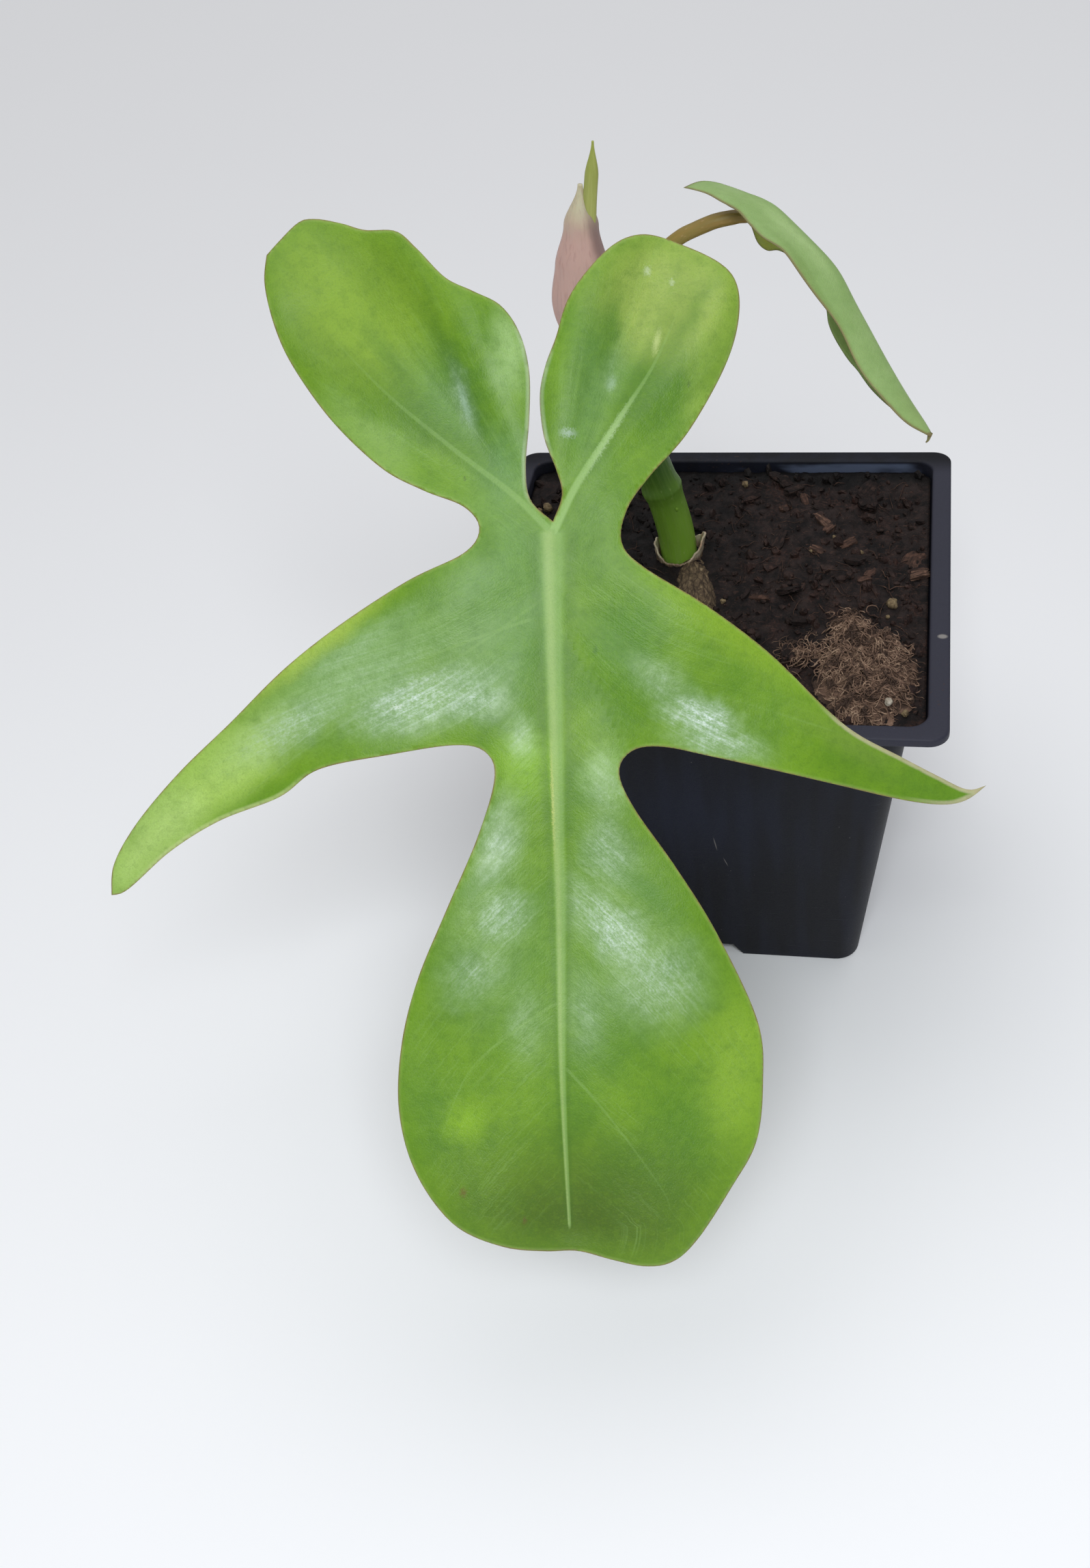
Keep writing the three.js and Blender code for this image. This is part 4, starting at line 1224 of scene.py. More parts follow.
@dataclass
class PottingMix:
    """The mix in the pot: its bed, and the crumbs, chips, threads and grains on it."""

    pot: NurseryPot
    tuft: Tuft
    level: float = 71.5
    cell: float = 0.55
    lump_count: int = 130
    lump_seed: int = 5
    chip_count: int = 24
    chip_seed: int = 23
    shape_seed: int = 7
    stems: Triple = (-6.0, 8.0, 7.0)
    cutting: Triple = (-5.0, 8.0, 17.0)
    crumb_places: Scatter = Scatter(900, 3, 1.0)
    bit_places: Scatter = Scatter(60, 12, 3.0)
    thread_places: Scatter = Scatter(240, 19, 2.5)
    grain_places: Scatter = Scatter(14, 31, 3.0)
    seen_grains: tuple[Triple, ...] = ((34.4, -4.1, 1.1), (-36.4, 25.3, 1.0), (-38.0, 24.4, 0.8))
    seen_chips: tuple[tuple[Pair, Pair, float], ...] = (
        ((38.0, 10.0), (5.5, 4.2), 1.2),
        ((39.0, 5.5), (4.0, 2.6), 0.2),
        ((25.3, 15.2), (3.4, 2.2), 0.5),
        ((20.0, 23.6), (4.2, 2.4), 2.3),
        ((21.5, 20.5), (2.6, 1.6), 0.9),
        ((30.3, 5.0), (4.6, 1.7), 1.1),
        ((29.0, 2.2), (2.6, 1.8), 0.4),
        ((19.6, 12.6), (3.0, 2.0), 2.6),
        ((12.4, 27.5), (2.4, 1.4), 0.2),
        ((8.6, -2.1), (5.2, 1.3), 2.9),
        ((16.0, 30.0), (2.8, 1.5), 1.9),
    )

    def __post_init__(self) -> None:
        """Draws the low lumps of the frame's own solid."""
        draw = Draws(self.lump_seed)
        half = self.pot.lip_half
        rows = [((2 * draw() - 1) * half, (2 * draw() - 1) * half, 2.4 + 4 * draw(), 2.6 * draw() - 1.2)
                for _ in range(self.lump_count)]
        self.lumps = np.array(rows)

    def from_wall(self, x: float, y: float) -> float:
        """Distance of a place from the inside of the rim."""
        return self.pot.lip_half - max(abs(x), abs(y))

    def top(self, x: float, y: float) -> float:
        """Height of the frame's own mix at a place.

        Args:
            x: Place across, from the pot's middle.
            y: Place along.

        Returns:
            The height above the pot's foot.
        """
        at_x, at_y, reach, rise = self.lumps.T
        relief = float((rise * np.exp(-((at_x - x) ** 2 + (at_y - y) ** 2) / reach**2)).sum())
        relief *= eased(self.from_wall(x, y), CLEARANCE, 5)
        return self.level + relief * eased(self.tuft.distance(x, y), 1.06, 1.4)

    def surface(self, x: float, y: float) -> float:
        """Height of the visible mix at a place, with its clods and crumbs.

        Args:
            x: Place across, from the pot's middle.
            y: Place along.

        Returns:
            The height above the pot's foot.
        """
        here = Vector((x, y, 0.0))
        clods = rough_noise(here + Vector((40, 0, 3)), 4.6, 4) * 0.75
        crumbs = abs(rough_noise(here + Vector((0, 70, 9)), 1.7)) * 0.9
        beside = eased(self.from_wall(x, y), 0.0, 2.5)
        under_tuft = eased(self.tuft.distance(x, y), 0.7, 1.0)
        return self.top(x, y) + (clods + crumbs - 0.3) * (0.25 + 0.75 * beside) * (0.3 + 0.7 * under_tuft)

    def rounded(self, x: float, y: float, half: float, corner: float) -> Pair:
        """Moves a place in a square so that the square's corners are round.

        Args:
            x: Place across, from the middle.
            y: Place along.
            half: Half width of the square.
            corner: Radius of its corners.

        Returns:
            The new place.
        """
        straight = half - corner
        over = Vector((max(0.0, abs(x) - straight), max(0.0, abs(y) - straight)))
        longest = max(over.x, over.y)
        if over.length > 0:
            over *= longest / over.length
        return (math.copysign(min(abs(x), straight) + over.x, x) if over.x else x,
                math.copysign(min(abs(y), straight) + over.y, y) if over.y else y)

    def bed(self) -> None:
        """Makes the bed and replaces the frame's mix."""
        half = self.pot.lip_half - CLEARANCE
        corner = self.pot.inner_corner - CLEARANCE
        straight = half - corner
        count = round(2 * half / self.cell)
        bm = bmesh.new()
        bmesh.ops.create_grid(bm, x_segments=count, y_segments=count, size=half)
        for vert in bm.verts:
            x, y = self.rounded(vert.co.x, vert.co.y, half, corner)
            vert.co = (x, y, self.surface(x, y))
        edges = [edge for edge in bm.edges if edge.is_boundary]
        inside, inside_z = self.pot.inner_shoulder
        low = self.pot.floor + CLEARANCE
        rings = ((half, self.pot.height - self.pot.collar), (inside - CLEARANCE, inside_z),
                 (self.pot.inner_half(low) - CLEARANCE, low))
        for width, z in rings:
            made = bmesh.ops.extrude_edge_only(bm, edges=edges)
            share = (width - corner) / straight
            for vert in made_parts(made, bmesh.types.BMVert):
                x, y = (math.copysign(min(abs(c), straight) * share + max(0.0, abs(c) - straight), c)
                        for c in vert.co.xy)
                vert.co = (x, y, z)
            edges = made_parts(made, bmesh.types.BMEdge)
            straight = width - corner
        bmesh.ops.contextual_create(bm, geom=edges)
        outward(bm)
        Piece("mix_bed", Slot.MIX, MoistMix(), ("soil",)).place(bm)

    def open_places(self, scatter: Scatter) -> Iterable[tuple[float, float, random.Random]]:
        """Finds places on the mix that the tuft and the stems leave free.

        Args:
            scatter: How many places, their seed and how far they keep from the rim.

        Yields:
            Each place, and the random numbers that its shape is drawn from.
        """
        draw = random.Random(scatter.seed)
        half = self.pot.lip_half - scatter.wall
        stem_x, stem_y, clear = self.stems
        found = 0
        while found < scatter.count:
            x, y = draw.uniform(-half, half), draw.uniform(-half, half)
            if self.tuft.distance(x, y) > 0.9 and math.hypot(x - stem_x, y - stem_y) > clear:
                found += 1
                yield x, y, draw

    def crumbs(self) -> None:
        """Makes the loose crumbs of the mix."""
        bm = bmesh.new()
        for x, y, draw in self.open_places(self.crumb_places):
            size = 0.35 + 1.0 * draw.random() ** 2.5
            place = Matrix.Translation((x, y, self.surface(x, y) + 0.25 * size))
            turn = Matrix.Rotation(draw.uniform(0, math.pi), 4, Vector((draw.random(), draw.random(), 1.0)))
            sides = (draw.uniform(0.7, 1.5), draw.uniform(0.7, 1.1), draw.uniform(0.5, 0.9))
            lumpy_grain(bm, place @ turn @ Matrix.Diagonal((*sides, 1.0)), size, 1, (0.35, 0.8 * size, 2))
        loose = MoistMix(dark=(22, 15, 14), middle=(56, 39, 34), pale=(92, 66, 55))
        Piece("mix_crumbs", Slot.MIX, loose, (), 30.0).place(bm)

    def chip(self, size: Sequence[float], place: Matrix, draw: random.Random) -> Mesh:
        """Makes one ragged bark chip.

        Args:
            size: Its length, width and thickness.
            place: Where it lies.
            draw: Random numbers for its shape.

        Returns:
            The chip, with the vector "own" at each vertex: its place in the chip.
        """
        bm = bmesh.new()
        own = bm.verts.layers.float_vector.new("own")
        bmesh.ops.create_cube(bm, size=1.0)
        bmesh.ops.subdivide_edges(bm, edges=list(bm.edges), cuts=4, use_grid_fill=True)
        offset = Vector((draw.uniform(0, 90), draw.uniform(0, 90), draw.uniform(0, 90)))
        bend, taper = draw.uniform(-0.25, 0.25), draw.uniform(0.0, 0.45)
        for vert in bm.verts:
            x, y, z = vert.co
            end = 2 * abs(x)
            ragged = 1 + 0.35 * rough_noise(Vector((0, y * 3, z * 3)) + offset, 1.0, 2) * end
            y *= (1 - taper * (x + 0.5)) * (1 - 0.25 * end**4)
            z *= (1 - 0.4 * end**3) * (1 - 0.35 * (2 * abs(y)) ** 3)
            z += bend * (x * x * 4) * size[0] / 9
            local = Vector((x * ragged * size[0], y * size[1], z * size[2]))
            splinter = rough_noise(Vector((local.x * 0.3, local.y, local.z)) + offset, 0.7)
            local += Vector((0, 1, 1)) * 0.16 * splinter
            vert[own] = local + offset
            vert.co = place @ local
        return bm

    def frame_chips(self) -> Iterable[tuple[Triple, Matrix]]:
        """Finds the larger chips that the frame's mix holds.

        Yields:
            The size and place of each.
        """
        draw = Draws(self.chip_seed)
        half = self.pot.lip_half - 5
        stem_x, stem_y, clear = self.cutting
        count = 0
        while count < self.chip_count:
            x, y = (2 * draw() - 1) * half, (2 * draw() - 1) * half
            size = (3 + 5 * draw(), 2 + 2.5 * draw(), 1 + 0.9 * draw())
            tilt_x, tilt_y, yaw = 0.5 * draw(), 0.5 * draw(), math.pi * draw()
            if math.hypot(x - stem_x, y - stem_y) < clear or self.tuft.distance(x, y) < 1.5:
                continue
            count += 1
            turn = Matrix.Rotation(yaw, 4, "Z") @ Matrix.Rotation(tilt_y, 4, "Y")
            turn = turn @ Matrix.Rotation(tilt_x, 4, "X")
            yield size, Matrix.Translation((x, y, self.top(x, y) + 0.3)) @ turn

    def chips(self) -> None:
        """Makes the bark chips: the frame's own, dark, and the paler ones that stand out in between."""
        dark, pale = bmesh.new(), bmesh.new()
        draw = random.Random(self.shape_seed)
        for size, place in self.frame_chips():
            taken_in(dark, self.chip(size, place, draw))
        for x, y, spread in self.open_places(self.bit_places):
            size = (spread.uniform(1.5, 3.6), spread.uniform(0.8, 1.8), spread.uniform(0.4, 0.8))
            turn = Matrix.Rotation(spread.uniform(0, math.pi), 4, "Z")
            turn = turn @ Matrix.Rotation(spread.uniform(-0.5, 0.5), 4, "Y")
            place = Matrix.Translation((x, y, self.surface(x, y) - 0.1)) @ turn
            taken_in(dark, self.chip(size, place, spread))
        for (x, y), (length, width), yaw in self.seen_chips:
            place = Matrix.Translation((x, y, self.surface(x, y) + 0.15)) @ Matrix.Rotation(yaw, 4, "Z")
            place = place @ Matrix.Rotation(draw.uniform(-0.3, 0.3), 4, "Y")
            taken_in(pale, self.chip((length, width, 1.0), place, draw))
        outward(dark)
        outward(pale)
        dark_bark = Bark("dark bark", (21, 15, 14), (43, 31, 28), (68, 50, 43))
        pale_bark = Bark("pale bark", (52, 37, 31), (88, 63, 52), (122, 94, 78), 0.45)
        Piece("bark_chips", Slot.MIX, dark_bark, (), 45.0).place(dark)
        Piece("pale_bark_chips", Slot.MIX, pale_bark, (), 45.0).place(pale)

    def threads(self) -> None:
        """Makes the loose fibres in the mix."""
        strands = []
        half = self.pot.lip_half - 1.0
        for x, y, draw in self.open_places(self.thread_places):
            yaw, length = draw.uniform(0, 2 * math.pi), draw.uniform(2.0, 8.0)
            bend = draw.uniform(-0.5, 0.5)
            points = []
            for step in range(7):
                share = step / 6 - 0.5
                along, beside = length * share, bend * length * share * share
                px = x + along * math.cos(yaw) - beside * math.sin(yaw)
                py = y + along * math.sin(yaw) + beside * math.cos(yaw)
                lift = 0.15 + 0.5 * draw.random() * (0.25 - share * share) * 4
                px, py = (min(half, max(-half, value)) for value in (px, py))
                points.append((px, py, self.surface(px, py) + lift))
            strands.append((points, draw.uniform(0.05, 0.13)))
        fibre = Fibre("mix fibre", (34, 24, 21), (60, 42, 35), (98, 72, 58))
        strand_piece("mix_fibres", Slot.MIX, fibre, strands)

    def grains(self) -> None:
        """Makes the pale grains of perlite and grit."""
        bm = bmesh.new()
        drawn = [(x, y, draw.uniform(0.3, 0.7)) for x, y, draw in self.open_places(self.grain_places)]
        for x, y, size in [*self.seen_grains, *drawn]:
            place = Matrix.Translation((x, y, self.surface(x, y) + 0.45 * size))
            lumpy_grain(bm, place, size, 3, (0.5, size, 3))
        grit = Fibre("pale grain", (92, 76, 56), (126, 108, 80), (156, 140, 108), 1.2)
        Piece("pale_grains", Slot.MIX, grit).place(bm)

    def build(self) -> None:
        """Makes all of the mix."""
        for part in (self.bed, self.crumbs, self.chips, self.threads, self.grains):
            part()


def strand_piece(name: str, slot: Slot, finish: Any, strands: Sequence[tuple[Points, float]],
                 replaces: tuple[str, ...] = (), core: Mesh | None = None) -> None:
    """Makes one piece of many thin strands.

    Args:
        name: The piece's name.
        slot: Its material slot.
        finish: Its finish.
        strands: The points of each strand and its radius.
        replaces: The CAD nodes that it stands for.
        core: A mesh in millimetres that is part of the piece.
    """
    curve = bpy.data.curves.new(name, "CURVE")
    curve.dimensions = "3D"
    curve.bevel_depth = 1.0
    curve.bevel_resolution = 0
    curve.use_fill_caps = True
    for points, radius in strands:
        line = curve.splines.new("POLY")
        line.points.add(len(points) - 1)
        for k, (knot, point) in enumerate(zip(line.points, points)):
            share = 2 * k / (len(points) - 1) - 1
            knot.co = (*point, 1.0)
            knot.radius = radius * (1 - 0.75 * share**4)
    holder = put(name, curve)
    mesh = evaluated(holder)
    bpy.data.objects.remove(holder)
    bpy.data.curves.remove(curve)
    bm = bmesh.new()
    bm.from_mesh(mesh)
    bpy.data.meshes.remove(mesh)
    each, draw = len(bm.verts) // len(strands), random.Random(len(strands))
    tones = [draw.uniform(-1, 1) for _ in strands]
    if core is not None:
        taken_in(bm, core)
    own = bm.verts.layers.float_vector.new("own")
    for k, vert in enumerate(bm.verts):
        vert[own] = (tones[k // each] if k // each < len(tones) else -0.5, 0, 0)
    outward(bm)
    Piece(name, slot, finish, replaces).place(bm)


@dataclass
class CoirTuft:
    """Tuft of coconut fibre: a lumpy core under a tangle of strands."""

    tuft: Tuft
    mix: PottingMix
    strands: int = 1150
    seed: int = 43
    steps: int = 7
    neck: Pair = (27.2, -12.0)
    drifts: tuple[tuple[float, Pair, Pair], ...] = (
        (0.14, (26.8, 1.6), (-12.5, 2.6)),
        (0.12, (19.5, 2.4), (-19.5, 1.8)),
    )
    bead: Triple = (34.6, -34.8, 0.75)

    def height(self, x: float, y: float) -> float:
        """Height of the mound above the mix.

        Args:
            x: Place across, from the pot's middle.
            y: Place along.

        Returns:
            The height, 0 beside the mound.
        """
        ragged = 1 + 0.22 * rough_noise(Vector((x, y, 5.0)), 5.0, 2)
        neck = bell(x, self.neck[0], 2.6) * bell(y, self.neck[1], 4.0)
        dome = max(0.0, 1 - (self.tuft.distance(x, y) / ragged) ** 2)
        lumps = 0.75 + 0.5 * rough_noise(Vector((x, y, 0)), 3.0, 2)
        return self.tuft.height * (dome**0.7 * lumps + 0.6 * neck)

    def core(self) -> Mesh:
        """Makes the mound that the strands lie on.

        Returns:
            The mound.
        """
        bm = bmesh.new()
        bmesh.ops.create_grid(bm, x_segments=56, y_segments=84, size=1.0)
        half = self.mix.pot.lip_half - 0.5
        foot = self.mix.level - 0.6
        for vert in bm.verts:
            x = min(self.tuft.x + vert.co.x * (self.tuft.half_x + 1.2), half)
            y = max(self.tuft.y + vert.co.y * (self.tuft.half_y + 3.0), -half)
            rise = self.height(x, y)
            fuzz = abs(rough_noise(Vector((x, y, 2.0)), 1.6, 4)) * 0.9
            vert.co = (x, y, foot + (rise + 0.2 + fuzz if rise > 0.15 else 0.0))
        outward(bm)
        made = bmesh.ops.extrude_face_region(bm, geom=list(bm.faces), use_keep_orig=True)
        for vert in made_parts(made, bmesh.types.BMVert):
            vert.co.z = foot - 0.4
        return bm

    def line(self, draw: random.Random) -> tuple[Points, float]:
        """Draws one curling strand over the mound.

        Args:
            draw: Random numbers for its place and shape.

        Returns:
            The strand's points and its radius.
        """
        angle, spread = draw.uniform(0, 2 * math.pi), 0.95 * draw.random() ** 0.6
        x = self.tuft.x + self.tuft.half_x * spread * math.cos(angle)
        y = self.tuft.y + self.tuft.half_y * spread * math.sin(angle)
        for chance, across, along in self.drifts:
            if draw.random() < chance:
                x, y = draw.gauss(*across), draw.gauss(*along)
        heading = draw.uniform(0, 2 * math.pi)
        turn, length = draw.uniform(-0.7, 0.7), draw.uniform(2.5, 6.5 - 3.5 * spread)
        lift = draw.uniform(0.1, 0.5 + 0.9 * (draw.random() < 0.2))
        points = []
        half = self.mix.pot.lip_half - 0.4
        for step in range(self.steps + 1):
            share = step / self.steps
            over = lift * math.sin(math.pi * share) + 0.35 * math.sin(9 * share + angle) * lift
            x, y = min(x, half), max(y, -half)
            ground = max(self.mix.level + self.height(x, y), self.mix.surface(x, y))
            points.append((x, y, ground + 0.25 + max(0.0, over)))
            heading += turn + draw.uniform(-0.35, 0.35)
            x += length / self.steps * math.cos(heading)
            y += length / self.steps * math.sin(heading)
        return points, draw.uniform(0.05, 0.16)

    def build(self) -> None:
        """Makes the tuft and the bead of grit in it."""
        draw = random.Random(self.seed)
        strands = [self.line(draw) for _ in range(self.strands)]
        coir = Fibre("coconut fibre", (68, 52, 43), (120, 94, 78), (180, 152, 128), 3.0)
        strand_piece("coir_tuft", Slot.COIR, coir, strands, ("fibre_tuft",), self.core())
        bm = bmesh.new()
        x, y, radius = self.bead
        place = Matrix.Translation((x, y, self.mix.level + self.height(x, y) + 0.9))
        lumpy_grain(bm, place, radius, 3, (0.25, 0.8, 2))
        grit = Fibre("grit", (150, 138, 122), (184, 174, 158), (214, 206, 192), 1.0)
        Piece("grit_bead", Slot.MIX, grit).place(bm)


# Stems

OLD_STEM_LINE = ((-2.2, -8, 70.9), (-3.4, 3, 69.2), (-5.2, 9.4, 67.6), (-8, 14, 64), (-12.3, 19.5, 57.5),
                 (-15.2, 23, 50))
SHOOT_LINE = ((-7.6, 11.8, 65.5), (-7.5, 11.9, 71), (-7.8, 12, 76), (-9, 12.1, 82.5), (-11.2, 12.2, 90.5),
              (-13.8, 12.2, 98.5), (-16.4, 12.2, 106.5), (-18.6, 12.2, 114.9), (-20.2, 12.1, 122.7))
PETIOLE_1_LINE = ((-12.8, 12.3, 95.4), (-13.8, 7.4, 101.4), (-14.7, -1, 109), (-14.3, -11.5, 116),
                  (-12.6, -30, 123.4), (-11.8, -48, 126.6), (-12.2, -58, 126.8), (-13.2, -66, 125.6),
                  (-13.9, -71, 124))
PETIOLE_2_LINE = ((-16.9, 12.2, 107.6), (-13.4, 11.4, 114.6), (-11.1, 11, 122.5), (-8.9, 10.9, 130.5),
                  (-6.1, 11, 135.7), (-3.3, 11, 138.1), (-0.4, 11, 139.5), (2.5, 11.1, 140.6),
                  (5.3, 11.3, 141.1), (8.4, 11.4, 141.5), (11.6, 11.6, 142.2))
CATAPHYLL_LINE = ((-17.3, 12.2, 111), (-20, 12.1, 118.8), (-21.8, 12, 125.6), (-21.2, 12, 134.4),
                  (-20.6, 12, 141.7), (-20.2, 12, 147.5))
NEW_LEAF_LINE = ((-19.4, 11.7, 136.3), (-18.8, 11.8, 143.2), (-17.8, 12, 150), (-17.3, 12, 154.9))


def seam(turn: float, place: float) -> float:
    """How far a turn is past a seam, from -pi to pi."""
    return math.remainder(turn - place, 2 * math.pi)


@dataclass
class Stems:
    """The rooted cutting, the shoot that grew from it and the dry sheath at the shoot's foot."""

    old_radii: Pair = (3.9, 3.6)
    shoot_radii: Pair = (3.6, 3.4)
    swell: float = 0.45
    nodes: Triple = (0.36, 0.56, 0.78)
    buds: tuple[Triple, ...] = ((-6.9, 83.8, 0.32), (-5.0, 76.0, 0.42))
    bud_axis: Pair = (-8.2, 12.05)
    roots: int = 7
    root_seed: int = 11
    root_radii: Pair = (1.1, 0.55)
    root_reach: float = 24.0
    sheath_axis: Pair = (-7.5, 11.9)
    sheath_foot: float = 68.6
    sheath_rim: float = 72.6
    sheath_inner: float = 4.0
    sheath_wall: float = 0.35
    sheath_points: Pair = (3.8, 1.9)

    def old_reach(self, share: float, turn: float) -> float:
        """Radius of the cutting, with two leaf scars and a cut end.

        Args:
            share: Place along it from 0 to 1.
            turn: Place round it in radians.

        Returns:
            The radius there.
        """
        radius = self.old_radii[0] + (self.old_radii[1] - self.old_radii[0]) * share
        here = Vector((4 * math.cos(turn), 4 * math.sin(turn), 14 * share))
        rings = 0.3 * bell(share, 0.3, 0.012) + 0.25 * bell(share, 0.56, 0.012)
        cut = 0.45 * bell(share, 0.0, 0.01)
        return radius + 0.25 * math.sin(17 * share) + rings - cut + 0.16 * rough_noise(here, 1.3)

    def root_radius(self, share: float, _: float) -> float:
        """Radius of a root, which narrows evenly."""
        first, last = self.root_radii
        return first + (last - first) * share

    def old_stem(self) -> None:
        """Makes the cutting with its roots."""
        line = smooth_line(OLD_STEM_LINE, 0.35)
        bm = tube(line, self.old_reach, 48)
        draw = Draws(self.root_seed)
        share = np.linspace(0, 1, 24)[:, None]
        for k in range(self.roots):
            start = line[round((0.45 + 0.5 * k / (self.roots - 1)) * (len(line) - 1))]
            turn, spread = 2.4 * k + draw(), 22 + 15 * draw()
            out = start[:2] + spread * np.array([math.cos(turn), math.sin(turn)])
            end = np.array([*np.clip(out, -self.root_reach, self.root_reach), 9 + 12 * draw()])
            bend = start + 0.45 * (end - start) + np.array([0, 0, 7])
            course = (1 - share) ** 2 * start + 2 * share * (1 - share) * bend + share**2 * end
            taken_in(bm, tube(course, self.root_radius, 10))
        Piece("old_stem_cutting", Slot.OLD_STEM, DryBark(), ("old_stem",)).place(bm)

    def shoot_reach(self, share: float, turn: float) -> float:
        """Radius of the shoot, with a ring at each node and faint flutes.

        Args:
            share: Place along it from 0 to 1.
            turn: Place round it in radians.

        Returns:
            The radius there.
        """
        radius = self.shoot_radii[0] + (self.shoot_radii[1] - self.shoot_radii[0]) * share
        for node in self.nodes:
            radius += self.swell * bell(share, node, 0.025) - 0.08 * bell(share, node - 0.012, 0.005)
        return radius + 0.05 * math.cos(9 * turn) * (1 - share) + 0.06 * math.sin(3 * turn + 5 * share)

    def shoot(self) -> None:
        """Makes the green shoot with its node rings and two tiny buds."""
        bm = tube(smooth_line(SHOOT_LINE, 0.3), self.shoot_reach, 56)
        axis_x, axis_y = self.bud_axis
        for x, z, radius in self.buds:
            made = bmesh.ops.create_icosphere(bm, subdivisions=2, radius=radius)["verts"]
            bmesh.ops.scale(bm, vec=(1.0, 0.7, 1.3), verts=made)
            y = axis_y - math.sqrt(max(0.1, 3.5**2 - (x - axis_x) ** 2))
            bmesh.ops.translate(bm, vec=(x, y, z), verts=made)
        # The shoot darkens towards its top: partly its own deeper green, partly painted shade of the large
        # leaf.
        green = Stalk("shoot skin", (124, 166, 54), (50, 88, 26), (136, 168, 84), (170, 188, 120), 58.0,
                      rough=0.36, streaks=0.3, flecks=0.3, grooves=0.08, fade=(0.28, 0.62), gloss=0.3)
        Piece("shoot_stem", Slot.SHOOT, green, ("shoot",)).place(bm)

    def sheath(self) -> None:
        """Makes the torn papery sheath round the shoot's foot."""
        (axis_x, axis_y), (right, left) = self.sheath_axis, self.sheath_points
        bm = bmesh.new()
        bmesh.ops.create_grid(bm, x_segments=96, y_segments=26, size=1.0)
        for vert in bm.verts:
            turn, up = (vert.co.x + 1) * math.pi, (vert.co.y + 1) / 2
            cos, sin = math.cos(turn), math.sin(turn)
            point = abs(cos) ** 5 * (right if cos > 0 else left)
            torn = 0.5 * rough_noise(Vector((4 * cos, 4 * sin, 0)), 0.9)
            dip = -0.9 * bell(turn, 1.5 * math.pi, 0.7)
            z = self.sheath_foot + up * (self.sheath_rim + point + dip + torn - self.sheath_foot)
            crease = 0.14 * math.sin(13 * turn + 2 * up)
            crease += 0.12 * rough_noise(Vector((turn * 3, up * 4, 7)), 1.0, 2)
            radius = self.sheath_inner + 0.45 * up**2 + crease + 0.35 * up**3 * max(0.0, cos) ** 3
            lean = 0.35 * up * max(0.0, cos) ** 5
            vert.co = (axis_x + (radius + lean) * cos, axis_y + radius * sin, z)
        bmesh.ops.remove_doubles(bm, verts=bm.verts, dist=MERGE)
        outward(bm)
        bmesh.ops.solidify(bm, geom=list(bm.faces), thickness=self.sheath_wall)
        outward(bm)
        Piece("dry_sheath", Slot.SHEATH, Papery(), ("base_sheath",)).place(bm)

    def build(self) -> None:
        """Makes all the stems."""
        for part in (self.old_stem, self.shoot, self.sheath):
            part()


@dataclass
class Petiole:
    """Leaf stalk that clasps the shoot and narrows to a neck under the blade."""

    name: str
    node: str
    line: Points
    clasp: float
    middle: float
    end: float
    finish: Stalk
    trim: float = 1.0

    def build(self) -> None:
        """Makes the petiole."""
        line = smooth_line(self.line, 0.45)
        line = line[: round(self.trim * len(line))]
        axes = directions(line)

        def reach(share: float, turn: float) -> float:
            """Radius of the petiole, with its clasp, groove, joint and rounded end.

            Args:
                share: Place along it from 0 to 1.
                turn: Place round it in radians.

            Returns:
                The radius there.
            """
            cos, sin = math.cos(turn), math.sin(turn)
            radius = self.middle + (self.clasp - self.middle) * bell(share, 0.0, 0.16)
            radius += (self.end - self.middle) * bell(share, 1.0, 0.1)
            row = round(share * (len(line) - 1))
            up = axes[1][row][2] * cos + axes[2][row][2] * sin
            groove = 0.14 * self.middle * max(0.0, up) ** 8 * eased(share, 0.04, 0.2) * eased(share, 1.0, 0.9)
            joint = 0.1 * self.middle * bell(share, 0.94, 0.02) - 0.06 * self.middle * bell(share, 0.9, 0.012)
            bumps = 0.03 * self.middle * rough_noise(Vector((3 * cos, 3 * sin, 30 * share)), 1.6)
            dome = math.sqrt(max(0.004, 1 - max(0.0, (share - 0.965) / 0.035) ** 2))
            return (radius - groove + joint + bumps) * dome

        Piece(self.name, Slot.PETIOLE, self.finish, (self.node,)).place(tube(line, reach, 40, axes))


